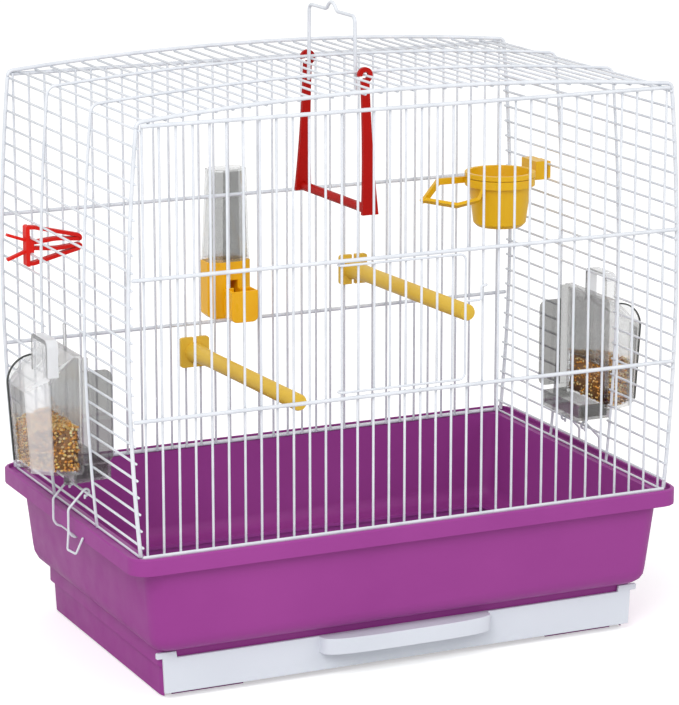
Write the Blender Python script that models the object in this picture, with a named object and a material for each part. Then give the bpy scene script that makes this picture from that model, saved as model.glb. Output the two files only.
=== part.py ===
"""Rectangular bird cage: a wire top on a moulded tub with a slide-out tray, front door, two swivelling
seed feeders, two wire latches, a sliding carry handle, a swing, two perches, a drinker, a bath cup
and a greens clip.

Metres, +Z up, front at -Y, origin under the middle of the whole cage at floor level. The pieces are drawn
about the tub's middle and moved at the end, because the drinker reaches further out than the rim.
Levels of the wire top are measured from the axis of its lowest wires, and lift() turns them into heights.
"""

import math

import bmesh
import bpy
from mathutils import Matrix, Vector

for item in list(bpy.data.objects):
    bpy.data.objects.remove(item, do_unlink=True)

# Clearances
GAP = 0.0003             # between pieces that touch
OVERRUN = 0.004          # how far a cutter runs past what it cuts
BITE = 0.0006            # how far moulded forms of one piece run into each other
SHARP_ANGLE = math.radians(35)
HALF_TURN = Matrix.Rotation(math.pi, 4, "Z")

# Wire stock
HEAVY_R = 0.0013         # frame wire
THIN_HALF = 0.00072      # half the side of the square that stands for the fine wire
FINE_R = 0.0008          # door and latch wire
WELD = 0.0004            # how deep two welded wires sink into each other
WELD_STEP = HEAVY_R + THIN_HALF - WELD

# Wire top
WIRE_LEVEL = 0.0985      # axis of the lowest wires above the floor
CAGE_HALF_DEPTH = 0.1152
SIDE_FOOT = 0.1852       # half width at the lowest wires
SIDE_EAVE = 0.184        # half width at the eaves
SIDE_BULGE = 0.0066      # how far a side bows out past its chord
EAVE_LEVEL = 0.2697
ROOF_CAMBER = 0.0089
EAVE_R = 0.004
MID_EAVE_R = 0.006
TOP_RAIL_LEVEL = 0.2674
LOW_RAIL_LEVEL = 0.0864
MID_RAIL_LEVEL = 0.1742
VERTICALS = 34
CORNER_GAP = 0.00075     # between the outermost uprights and the side wires
SIDE_WIRES = 25
SIDE_FIRST_LEVEL = 0.0064
SIDE_PITCH = 0.01077
ROOF_WIRES = 33
ROOF_PITCH = 0.011
MID_ARCH_Y = 0.0392
SIDE_WIRE_END = 0.0021   # how far the side wires run past the axes of the end arches
WINDOW_FIRST = 2         # side wires cut for a feeder
WINDOW_LAST = 10
WINDOW_WIRE_END = 0.0012  # how far the cut wires run past the axis of the middle arch
LEG_STEPS = 8
ROOF_STEPS = 14
CORNER_STEPS = 3

# Door
DOOR_FIRST = 12          # the vertical that the door swings on
DOOR_LAST = 20           # the last vertical that is cut for the doorway
DOOR_BOTTOM_LEVEL = 0.0905
DOOR_TOP_LEVEL = 0.1714
DOOR_EDGE_X = 0.0385
DOOR_CORNER_R = 0.004
CURL_R = 0.0022
TONGUE_LOW_LEVEL = 0.141
TONGUE_HIGH_LEVEL = 0.15

# Latches
LATCH_WIRE = 1           # the side wire that a latch swings on
LATCH_FRONT_Y = -0.02
LATCH_BACK_Y = 0.008
LATCH_LEG_OUT = 0.0112   # from the side wire out to the leg
LATCH_HOOK_OUT = 0.0055
LATCH_HOOK_DROP = 0.029
LATCH_LEG_DROP = 0.0243
LATCH_SHOULDER_DROP = 0.013
LATCH_TAIL = 0.0042
LOOP_DEPTH = 0.0115
LOOP_HALF_WIDTH = 0.0105

# Tub
RIM_BEYOND_WIRES_X = 0.0083
RIM_BEYOND_WIRES_Y = 0.0098
RIM_HALF_X = SIDE_FOOT + RIM_BEYOND_WIRES_X
RIM_HALF_Y = CAGE_HALF_DEPTH + RIM_BEYOND_WIRES_Y
RIM_R = 0.013
RIM_TOP = 0.0995
RIM_BOTTOM = 0.0887
RIM_ROUND = 0.0008
LIP = 0.0025             # width of the lip round the wires
LEDGE_LEVEL = -0.0016    # the ledge under the lowest wires
RIM_SHELF_X = 0.012      # how far the rim stands out past the wall
RIM_SHELF_Y = 0.0055
WALL_TOP_HALF_X = RIM_HALF_X - RIM_SHELF_X
WALL_TOP_HALF_Y = RIM_HALF_Y - RIM_SHELF_Y
DRAFT_SIDE = 0.0045      # how far the walls lean in from the rim to their foot
DRAFT_FRONT = 0.0035
DRAFT_BACK = 0.003
WALL_FOOT_HALF_X = WALL_TOP_HALF_X - DRAFT_SIDE
WALL_FOOT_FRONT = WALL_TOP_HALF_Y - DRAFT_FRONT
WALL_FOOT_BACK = WALL_TOP_HALF_Y - DRAFT_BACK
WALL_FOOT = 0.0445
WALL = 0.0024
WALL_R = 0.0115
BASIN_BOTTOM = 0.033
BASIN_FLOOR = 0.0022     # thickness of the ledge round the tray
BASIN_OPEN_R = 0.006
TURN_IN_SIDE = 0.008     # how far the round lower edge of the basin turns in to the skirt
TURN_IN_FRONT = 0.0107
TURN_IN_BACK = 0.0135
SKIRT_HALF_X = WALL_FOOT_HALF_X - TURN_IN_SIDE
SKIRT_FRONT = WALL_FOOT_FRONT - TURN_IN_FRONT
SKIRT_BACK = WALL_FOOT_BACK - TURN_IN_BACK
SKIRT_R = 0.008
SKIRT_BAND_FOOT = 0.0215
SKIRT_INSET = 0.0022     # the skirt below the band
SKIRT_DRAFT = 0.0008
SKIRT_FOOT = 0.0009
BAND_CHAMFER = 0.001
SKIRT_WALL_SIDE = 0.0047
SKIRT_WALL_BACK = 0.005
BAY_HALF_X = SKIRT_HALF_X - SKIRT_WALL_SIDE
BAY_BACK = SKIRT_BACK - SKIRT_WALL_BACK
BAY_FLOOR_BOTTOM = 0.0025
BAY_FLOOR_TOP = 0.0042
FACE_CUT = 0.0023        # how far the skirt is cut back for the drawer's front
TUB_FACE = SKIRT_FRONT - FACE_CUT
FLOOR_SET_BACK = 0.007
BAY_FLOOR_FRONT = TUB_FACE - FLOOR_SET_BACK
LEDGE_SIDE = 0.0043      # the ledge round the opening over the tray
LEDGE_FRONT = 0.003
LEDGE_BACK = 0.002
BASIN_OPEN_HALF_X = BAY_HALF_X - LEDGE_SIDE
BASIN_OPEN_FRONT = TUB_FACE - LEDGE_FRONT
BASIN_OPEN_BACK = BAY_BACK - LEDGE_BACK
FOOT_INSET_X = 0.0063
FOOT_WIDTH = 0.049
FOOT_DEPTH = 0.012
FOOT_OUT_X = BAY_HALF_X - FOOT_INSET_X
FOOT_IN_X = FOOT_OUT_X - FOOT_WIDTH
FOOT_IN_Y = BAY_FLOOR_FRONT - FOOT_DEPTH
ARC_STEPS = 4
CORNER_ARC_STEPS = 4

# Drawer
DRAWER_WALL = 0.0018
DRAWER_HEIGHT = 0.023
DRAWER_TRAY_TOP = 0.026
DRAWER_FRONT_DEPTH = 0.0022
FRONT_OVERLAP_TOP = 0.0032  # how far the drawer's front covers the skirt beside the bay
FRONT_OVERLAP_FOOT = 0.0022
DRAWER_TOP_HALF_X = BAY_HALF_X + FRONT_OVERLAP_TOP
DRAWER_FOOT_HALF_X = BAY_HALF_X + FRONT_OVERLAP_FOOT
EAR_WIDTH = 0.014
EAR_OVERLAP = 0.0045
EAR_OUT_X = DRAWER_TOP_HALF_X + EAR_OVERLAP
EAR_IN_X = EAR_OUT_X - EAR_WIDTH
EAR_HEIGHT = 0.0042
PULL_HALF_X = 0.0605
PULL_REACH = 0.0125
PULL_HEIGHT = 0.0107
PULL_WALL = 0.002
PULL_STEPS = 16
PULL_ROUND_SHARE = 0.55  # how square the pull's outline is

# Feeders, from the swivel axis: out is away from the cage
FEEDER_X = 0.19
FEEDER_WALL = 0.0016
HOPPER_BOTTOM_LEVEL = 0.026
HOPPER_POST_Y = 0.031
HOPPER_BEND_OUT = 0.021
HOPPER_BEND_Y = 0.0265
HOPPER_FACE_OUT = 0.0335
HOPPER_FACE_Y = 0.0155
HOPPER_SIDE_OUT = 0.007
HOPPER_SIDE_TOP_LEVEL = 0.097
HOPPER_BEND_TOP_LEVEL = 0.094
HOPPER_FACE_TOP_LEVEL = 0.086
HOPPER_RIDGE_LEVEL = 0.108
HOPPER_RIDGE_OUT = 0.008
HOPPER_RIDGE_Y = 0.022
SLOT_TOP_LEVEL = 0.044
SLOT_HALF_Y = 0.024
FILL_IN = 0.0018
FILL_OUT = 0.0075
FILL_NEAR_Y = 0.008
FILL_FAR_Y = 0.02
TRAY_REACH = 0.02
TRAY_HALF_Y = 0.026
TRAY_BOTTOM_LEVEL = 0.024
TRAY_TOP_LEVEL = 0.044
CHEEK_REACH = 0.02
CHEEK_BOTTOM_LEVEL = 0.048
CHEEK_TOP_LEVEL = 0.11
CHEEK_R = 0.006
POST_BOTTOM_LEVEL = 0.0233
POST_TOP_LEVEL = 0.112
POST_DEPTH = 0.0026
POST_IN = 0.003
POST_OUT = 0.007
BOSS_R = 0.0065
BOSS_TOP_R = 0.0042
GRIP_HALF_WIDTH = 0.0035
GRIP_HALF_DEPTH = 0.0014
GRIP_TOP_LEVEL = 0.1145
GRIP_FOOT_LEVEL = 0.095
GRIP_REACH_Y = 0.027
GRIP_OUT = 0.0205
SHIELD_R = 0.017
SHIELD_TOP_LEVEL = 0.1025
ROUND_SIDES = 20

# Carry handle
HANDLE_X = -0.0027
HANDLE_R = 0.0012
HANDLE_HALF_TOP = 0.035
HANDLE_HALF_FOOT = 0.0362
HANDLE_TOP_LEVEL = 0.3135
HANDLE_BUMP = 0.0055
HANDLE_BUMP_HALF = 0.008
HANDLE_FOOT_LEVEL = 0.263
HANDLE_CORNER_R = 0.004

# Swing
SWING_HOOK_Y = 0.0442
SWING_FOOT_Y = 0.0492
SWING_HOOK_R = 0.0036
SWING_HOOK_HALF = 0.0015
SWING_ARM_HALF_Y = 0.0014
SWING_ARM_TOP_HALF = 0.0031
SWING_ARM_FOOT_HALF = 0.0052
SWING_FOOT_LEVEL = 0.1845
SWING_BAR_LEVEL = 0.1885
SWING_BAR_R = 0.0033

# Perches
PERCH_R = 0.0052
PERCH_FLARE_R = 0.0078
PERCH_FLARE_LENGTH = 0.018
PERCH_PLATE_HALF = 0.0105
PERCH_PLATE_DEPTH = 0.003
PERCH_PLATE_R = 0.0035
PERCH_NOTCH = 0.002
PERCH_LENGTH = 0.19
PERCH_RISE = 0.007
PERCH_TIE_HALF_Z = 0.0035
PERCH_TIE_DEPTH = 0.002
PERCHES = (
    ("low", 12, 0.065),  # name, the vertical at the right of its clip, level of its clip
    ("high", 23, 0.1135),
)

# Drinker
DRINKER_X = -0.0246
DRINKER_STAND_OFF = 0.0041  # from the back uprights' axes to the drinker's face
DRINKER_FACE_Y = CAGE_HALF_DEPTH + DRINKER_STAND_OFF
DRINKER_BASE_BOTTOM_LEVEL = 0.0815
DRINKER_BASE_TOP_LEVEL = 0.128
DRINKER_HALF_X = 0.0205
DRINKER_DEPTH = 0.031
DRINKER_TOP_HALF_X = 0.0162
DRINKER_TOP_DEPTH = 0.0245
DRINKER_TOP_LEVEL = 0.191
DRINKER_WALL = 0.0015
DRINKER_NECK_R = 0.0085
DRINKER_NECK_LENGTH = 0.009
DRINKER_FACET_SHARE = 0.42  # where the facets start, as a share of the half width
TROUGH_HALF_X = 0.0103
TROUGH_REACH = 0.0152    # from the back uprights' axes in to the trough's front
TROUGH_FRONT_Y = CAGE_HALF_DEPTH - TROUGH_REACH
TROUGH_BOTTOM_LEVEL = 0.089
TROUGH_TOP_LEVEL = 0.1125
TROUGH_WALL = 0.0014
TROUGH_R = 0.004
NECK_HALF_X = 0.0042
NECK_BOTTOM_LEVEL = 0.0925
NECK_TOP_LEVEL = 0.1085
HOOK_HALF_X = 0.003
HOOK_HEIGHT = 0.0028

# Bath cup and its holder
CUP_X = 0.148
CUP_Y = 0.05
CUP_TOP_LEVEL = 0.1885
CUP_BOTTOM_LEVEL = 0.1505
CUP_TOP_R = 0.0222
CUP_FOOT_R = 0.0182
CUP_WALL = 0.0015
CUP_FLANGE_R = 0.0245
CUP_FLANGE_HEIGHT = 0.0035
CUP_FOOT_ROUND = 0.0025
CUP_SIDES = 32
HOLDER_HEIGHT = 0.0055
HOLDER_WALL = 0.0018
HOLDER_BAND_HALF = 0.0011
LANDING_REACH = 0.0335
LANDING_DROP = 0.0125
LANDING_TIP = 0.004
LANDING_FAR_Y = 0.013
LANDING_NEAR_Y = -0.012
CLIP_BLOCK_HALF_Y = 0.0105
CLIP_BLOCK_BOTTOM_LEVEL = 0.179
CLIP_BLOCK_TOP_LEVEL = 0.192
CLIP_BLOCK_DEPTH = 0.009
CLIP_Y = 0.0645
CLIP_WIRE = 16           # the clip passes between this side wire and the next
CLIP_TAB_DEPTH = 0.002
CLIP_TAB_HALF_Y = 0.007

# Greens clip
GREENS_Y = 0.065
GREENS_WIRE = 14
GREENS_HALF_Y = 0.004
GREENS_BODY_HALF = 0.0135
GREENS_BODY_DEPTH = 0.0036
GREENS_PRONG_REACH = 0.0155
GREENS_PRONG_SPREAD = 0.0105
GREENS_PRONG_HALF = 0.0016
GREENS_JAW_REACH = 0.0365
GREENS_JAW_HALF = 0.0011
GREENS_ROOT_DEPTH = 0.0045


def lift(level):
    return WIRE_LEVEL + level


def side_x(level):
    """Half width of the wire top's frame at a level."""
    share = level / EAVE_LEVEL
    return SIDE_FOOT + (SIDE_EAVE - SIDE_FOOT) * share + 4 * SIDE_BULGE * share * (1 - share)


def roof_level(x):
    return EAVE_LEVEL + ROOF_CAMBER * (1 - (x / SIDE_EAVE) ** 2)


def side_wire_level(index):
    return SIDE_FIRST_LEVEL + SIDE_PITCH * index


def side_wire_x(index):
    return side_x(side_wire_level(index)) - WELD_STEP


OUTER_VERTICAL_X = side_wire_x(SIDE_WIRES - 1) - 2 * THIN_HALF - CORNER_GAP
VERTICAL_PITCH = 2 * OUTER_VERTICAL_X / (VERTICALS - 1)
OUTSIDE_STEP = THIN_HALF + GAP + HEAVY_R   # a frame wire laid outside the fine wires
RAIL_Y = CAGE_HALF_DEPTH + WELD_STEP


def vertical_x(index):
    return VERTICAL_PITCH * index - OUTER_VERTICAL_X


def finish(name, colour, roughness, alpha=1.0, transmission=0.0):
    made = bpy.data.materials.new(name)
    made.use_nodes = True
    shader = made.node_tree.nodes["Principled BSDF"]
    shader.inputs["Base Color"].default_value = (*colour, 1.0)
    shader.inputs["Roughness"].default_value = roughness
    shader.inputs["Metallic"].default_value = 0.0
    shader.inputs["Alpha"].default_value = alpha
    shader.inputs["Transmission Weight"].default_value = transmission
    return made


def white_wire(name):
    return finish(name, (0.86, 0.87, 0.9), 0.35)


def place(name, bm, material, location=(0, 0, 0)):
    """An object of a mesh that is drawn in world places, with its own origin at the location."""
    bmesh.ops.recalc_face_normals(bm, faces=bm.faces)
    bmesh.ops.translate(bm, verts=bm.verts, vec=-Vector(location))
    mesh = bpy.data.meshes.new(name)
    bm.to_mesh(mesh)
    bm.free()
    mesh.materials.append(material)
    mesh.shade_smooth()
    mesh.set_sharp_from_angle(angle=SHARP_ANGLE)
    thing = bpy.data.objects.new(name, mesh)
    thing.location = location
    bpy.context.scene.collection.objects.link(thing)
    return thing


def combine(target, name, bm, operation="UNION"):
    """Add a shape to the target, or cut it away."""
    tool = place(target.name + "_" + name, bm, target.data.materials[0])
    tool.hide_render = True
    tool.display_type = "WIRE"
    step = target.modifiers.new(name, "BOOLEAN")
    step.operation = operation
    step.solver = "EXACT"
    step.object = tool


def ngon(radius, sides, turn=0.0):
    """A regular polygon for sweep()."""
    angles = [turn + math.tau * corner / sides for corner in range(sides)]
    return [(radius * math.cos(angle), radius * math.sin(angle)) for angle in angles]


def oblong(half_up, half_aside):
    return [(half_up, half_aside), (-half_up, half_aside), (-half_up, -half_aside), (half_up, -half_aside)]


def bridge(bm, rings):
    """Skin rings of the same number of points, with a flat face at each end."""
    for low, high in zip(rings, rings[1:]):
        for index in range(len(low)):
            after = (index + 1) % len(low)
            bm.faces.new((low[index], low[after], high[after], high[index]))
    bm.faces.new(list(reversed(rings[0])))
    bm.faces.new(rings[-1])


def sweep(bm, path, section, up):
    """Run a section along a path with mitred corners. Its first axis starts along up."""
    points = [Vector(point) for point in path]
    runs = [(end - start).normalized() for start, end in zip(points, points[1:])]
    across = Vector(up) - Vector(up).project(runs[0])
    across.normalize()
    rings = []
    for index, point in enumerate(points):
        before = runs[max(index - 1, 0)]
        after = runs[min(index, len(runs) - 1)]
        aside = before.cross(across)
        mitre = (before + after).normalized()
        ring = []
        for along, over in section:
            arm = across * along + aside * over
            arm -= before * (arm.dot(mitre) / before.dot(mitre))
            ring.append(bm.verts.new(point + arm))
        rings.append(ring)
        across = before.rotation_difference(after) @ across
    bridge(bm, rings)


def fine_wire(bm, start, end, up):
    """One straight square wire, with a flat side towards up."""
    sweep(bm, [start, end], oblong(THIN_HALF, THIN_HALF), up)


def add_box(bm, low, high):
    corners = [(x, y) for x, y in ((low[0], low[1]), (high[0], low[1]), (high[0], high[1]), (low[0], high[1]))]
    rings = [[bm.verts.new((x, y, z)) for x, y in corners] for z in (low[2], high[2])]
    bridge(bm, rings)


def box(low, high):
    bm = bmesh.new()
    add_box(bm, low, high)
    return bm


def rounded(half_x, front, back, radius):
    """A rectangle with round corners, from -front to back along Y."""
    points = []
    middles = ((half_x - radius, back - radius), (radius - half_x, back - radius),
               (radius - half_x, radius - front), (half_x - radius, radius - front))
    for quarter, (x, y) in enumerate(middles):
        for step in range(CORNER_ARC_STEPS + 1):
            angle = math.pi / 2 * (quarter + step / CORNER_ARC_STEPS)
            points.append((x + radius * math.cos(angle), y + radius * math.sin(angle)))
    return points


def loft(levels):
    """A solid through outlines, each given as its height and its points."""
    bm = bmesh.new()
    rings = [[bm.verts.new((x, y, z)) for x, y in outline] for z, outline in levels]
    bridge(bm, rings)
    return bm


def plate(outline, start, end, axis):
    """A flat outline pushed along one axis from start to end. Its two values are the other axes in order."""
    bm = bmesh.new()
    rings = []
    for where in (start, end):
        ring = []
        for first, second in outline:
            spot = {0: (where, first, second), 1: (first, where, second), 2: (first, second, where)}[axis]
            ring.append(bm.verts.new(spot))
        rings.append(ring)
    bridge(bm, rings)
    return bm


def turned(profile, x, y, sides):
    """A closed profile of (radius, height) points turned about the vertical through x, y."""
    bm = bmesh.new()
    rings = []
    for index in range(sides):
        angle = math.tau * index / sides
        rings.append([bm.verts.new((x + radius * math.cos(angle), y + radius * math.sin(angle), height))
                      for radius, height in profile])
    for index in range(sides):
        here = rings[index]
        there = rings[(index + 1) % sides]
        for point in range(len(profile)):
            after = (point + 1) % len(profile)
            bm.faces.new((here[point], there[point], there[after], here[after]))
    bmesh.ops.remove_doubles(bm, verts=bm.verts, dist=BITE / ROUND_SIDES)
    return bm


def disc(radius, x, y, low, high, top_radius=None):
    top_radius = radius if top_radius is None else top_radius
    bm = bmesh.new()
    rings = [[bm.verts.new((x + a, y + b, z)) for a, b in ngon(r, ROUND_SIDES)]
             for r, z in ((radius, low), (top_radius, high))]
    bridge(bm, rings)
    return bm


def arc(middle, radius, start, end, steps):
    """Points of an arc, in degrees, on a plane."""
    angles = [math.radians(start + (end - start) * step / steps) for step in range(steps + 1)]
    return [(middle[0] + radius * math.cos(angle), middle[1] + radius * math.sin(angle)) for angle in angles]


def leg_path(x_sign, y, foot_level, top_level, outward=0.0):
    """One upright of an arch, along the bowed side."""
    levels = [foot_level + (top_level - foot_level) * step / LEG_STEPS for step in range(LEG_STEPS + 1)]
    return [(x_sign * (side_x(level) + outward), y, lift(level)) for level in levels]


def roof_path(y, corner_r, outward=0.0):
    """The top of an arch with its two corners, from left to right."""
    half = side_x(EAVE_LEVEL - corner_r) + outward
    inner = half - corner_r
    shoulder = roof_level(inner) + outward
    left = []
    for step in range(CORNER_STEPS + 1):
        angle = math.pi / 2 * step / CORNER_STEPS
        left.append((inner + corner_r * math.cos(angle), shoulder - corner_r * (1 - math.sin(angle))))
    span = [inner - 2 * inner * step / ROOF_STEPS for step in range(1, ROOF_STEPS)]
    middle = [(x, roof_level(x) + outward) for x in span]
    right = [(-x, level) for x, level in reversed(left)]
    return [(-x, y, lift(level)) for x, level in left + middle + right]


def front_or_back_panel(name, y_sign, doorway):
    """The fine uprights welded to the top and bottom rails."""
    uprights = bmesh.new()
    foot = lift(-WELD_STEP / 2)
    head = lift(TOP_RAIL_LEVEL + WELD_STEP / 2)
    y = y_sign * CAGE_HALF_DEPTH
    for index in range(VERTICALS):
        spans = [(foot, head)]
        if doorway and DOOR_FIRST < index <= DOOR_LAST:
            spans = [(foot, lift(LOW_RAIL_LEVEL + HEAVY_R)), (lift(MID_RAIL_LEVEL - HEAVY_R), head)]
        for low, high in spans:
            fine_wire(uprights, (vertical_x(index), y, low), (vertical_x(index), y, high), (0, 1, 0))
    panel = place(name, uprights, white_wire(name))
    rails = bmesh.new()
    for level, half in ((0, SIDE_FOOT - HEAVY_R - GAP), (TOP_RAIL_LEVEL, OUTER_VERTICAL_X + 2 * THIN_HALF - WELD)):
        path = [(-half, y_sign * RAIL_Y, lift(level)), (half, y_sign * RAIL_Y, lift(level))]
        sweep(rails, path, ngon(HEAVY_R, 6), (0, 0, 1))
    combine(panel, "rails", rails)


def side_panel(name, x_sign):
    """The fine side wires welded to the front and back uprights, with the feeder's window."""
    wires = bmesh.new()
    end = CAGE_HALF_DEPTH + SIDE_WIRE_END
    window = MID_ARCH_Y - WINDOW_WIRE_END
    for index in range(SIDE_WIRES):
        spans = [(-end, end)]
        if WINDOW_FIRST <= index <= WINDOW_LAST:
            spans = [(-end, -window), (window, end)]
        x = x_sign * side_wire_x(index)
        z = lift(side_wire_level(index))
        for near, far in spans:
            fine_wire(wires, (x, near, z), (x, far, z), (0, 0, 1))
    panel = place(name, wires, white_wire(name))
    legs = bmesh.new()
    top = roof_path(0, EAVE_R)[0][2] - WIRE_LEVEL - GAP
    for y in (-CAGE_HALF_DEPTH, CAGE_HALF_DEPTH):
        sweep(legs, leg_path(x_sign, y, 0, top), ngon(HEAVY_R, 6), (0, 1, 0))
    combine(panel, "legs", legs)


def roof_panel():
    """The fine roof wires welded under the tops of the front and back arches."""
    wires = bmesh.new()
    half_count = ROOF_WIRES // 2
    for index in range(-half_count, half_count + 1):
        x = ROOF_PITCH * index
        z = lift(roof_level(x) - WELD_STEP)
        fine_wire(wires, (x, -CAGE_HALF_DEPTH, z), (x, CAGE_HALF_DEPTH, z), (0, 0, 1))
    panel = place("roof_panel", wires, white_wire("roof_panel"))
    arches = bmesh.new()
    for y in (-CAGE_HALF_DEPTH, CAGE_HALF_DEPTH):
        sweep(arches, roof_path(y, EAVE_R), ngon(HEAVY_R, 6), (0, 1, 0))
    combine(panel, "arches", arches)


def rail(name, y_sign, level):
    """A frame wire across the outside of the uprights."""
    half = side_x(level) - HEAVY_R - GAP
    y = y_sign * (CAGE_HALF_DEPTH + OUTSIDE_STEP)
    bm = bmesh.new()
    sweep(bm, [(-half, y, lift(level)), (half, y, lift(level))], ngon(HEAVY_R, 6), (0, 0, 1))
    place(name, bm, white_wire(name))


def middle_arch(name, y):
    """A whole arch outside the side and roof wires."""
    outward = OUTSIDE_STEP - WELD_STEP
    foot = LEDGE_LEVEL + GAP
    roof = roof_path(y, MID_EAVE_R, outward)
    top = roof[0][2] - WIRE_LEVEL
    left = leg_path(-1, y, foot, top, outward)[:-1]
    right = leg_path(1, y, foot, top, outward)[:-1]
    bm = bmesh.new()
    sweep(bm, left + roof + right[::-1], ngon(HEAVY_R, 6), (0, 1, 0))
    place(name, bm, white_wire(name))


def door():
    """A wire frame with bars, curled round an upright at its hinge side, and a tongue that hooks the next."""
    hinge_x = vertical_x(DOOR_FIRST)
    pivot = (hinge_x, -CAGE_HALF_DEPTH)
    y = -CAGE_HALF_DEPTH - CURL_R
    low = lift(DOOR_BOTTOM_LEVEL)
    high = lift(DOOR_TOP_LEVEL)
    curl = [(a, b) for a, b in arc(pivot, CURL_R, 20, 270, 8)]
    path = [(a, b, high) for a, b in curl]
    path += [(a, y, b) for a, b in arc((DOOR_EDGE_X - DOOR_CORNER_R, high - DOOR_CORNER_R), DOOR_CORNER_R, 90, 0, 3)]
    path += [(a, y, b) for a, b in arc((DOOR_EDGE_X - DOOR_CORNER_R, low + DOOR_CORNER_R), DOOR_CORNER_R, 0, -90, 3)]
    path += [(a, b, low) for a, b in reversed(curl)]
    frame = bmesh.new()
    sweep(frame, path, ngon(FINE_R, 6), (0, 0, 1))
    made = place("front_door", frame, white_wire("front_door"), (pivot[0], pivot[1], lift(DOOR_BOTTOM_LEVEL)))
    bars = bmesh.new()
    bar_y = y + FINE_R + THIN_HALF - WELD
    for index in range(DOOR_FIRST + 1, DOOR_LAST):
        x = vertical_x(index)
        fine_wire(bars, (x, bar_y, low - WELD), (x, bar_y, high + WELD), (0, 1, 0))
    combine(made, "bars", bars)
    catch_x = vertical_x(DOOR_LAST + 1)
    tongue = bmesh.new()
    tongue_low = lift(TONGUE_LOW_LEVEL)
    tongue_high = lift(TONGUE_HIGH_LEVEL)
    root = DOOR_EDGE_X - FINE_R
    tip = [(a, b, tongue_high) for a, b in arc((catch_x, -CAGE_HALF_DEPTH), CURL_R, 270, 372, 4)]
    route = [(root, y, tongue_low), (catch_x - CURL_R, y, tongue_low), (catch_x - CURL_R, y, tongue_high)]
    sweep(tongue, route + tip, ngon(FINE_R, 6), (0, 1, 0))
    combine(made, "tongue", tongue)


def latch(name, turn):
    """A wire bail that swings on a side wire and hooks under the tub's rim, with a finger loop."""
    pivot_x = -side_wire_x(LATCH_WIRE)
    pivot_z = lift(side_wire_level(LATCH_WIRE))

    def spot(out, y, drop):
        return (pivot_x - out, y, pivot_z - drop)

    curl = [(out, -rise) for out, rise in arc((0, 0), CURL_R, 290, 60, 7)]
    tail = (CURL_R * math.cos(math.radians(290)), LATCH_TAIL)
    half = [tail] + curl + [(LATCH_LEG_OUT, LATCH_SHOULDER_DROP), (LATCH_LEG_OUT, LATCH_LEG_DROP),
                            ((LATCH_LEG_OUT + LATCH_HOOK_OUT) / 2 + CURL_R / 2, LATCH_HOOK_DROP - CURL_R / 2),
                            (LATCH_HOOK_OUT + CURL_R / 2, LATCH_HOOK_DROP)]
    path = [spot(out, LATCH_BACK_Y, drop) for out, drop in half]
    path += [spot(out, LATCH_FRONT_Y, drop) for out, drop in reversed(half)]
    bail = bmesh.new()
    sweep(bail, path, ngon(FINE_R, 6), (0, 1, 0))
    loop = bmesh.new()
    route = [spot(LATCH_LEG_OUT, LATCH_FRONT_Y, LATCH_LEG_DROP - WELD),
             spot(LATCH_LEG_OUT, LATCH_FRONT_Y + LOOP_HALF_WIDTH / 2, LATCH_LEG_DROP + LOOP_DEPTH - CURL_R),
             spot(LATCH_LEG_OUT, LATCH_FRONT_Y - LOOP_HALF_WIDTH / 2, LATCH_LEG_DROP + LOOP_DEPTH),
             spot(LATCH_LEG_OUT + CURL_R, LATCH_FRONT_Y - 2 * LOOP_HALF_WIDTH + CURL_R * 2, LATCH_LEG_DROP)]
    sweep(loop, route, ngon(FINE_R, 6), (1, 0, 0))
    for bm in (bail, loop):
        bmesh.ops.transform(bm, matrix=turn, verts=bm.verts)
    origin = turn @ Vector((pivot_x, 0, pivot_z))
    made = place(name, bail, white_wire(name), origin)
    combine(made, "loop", loop)


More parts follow.
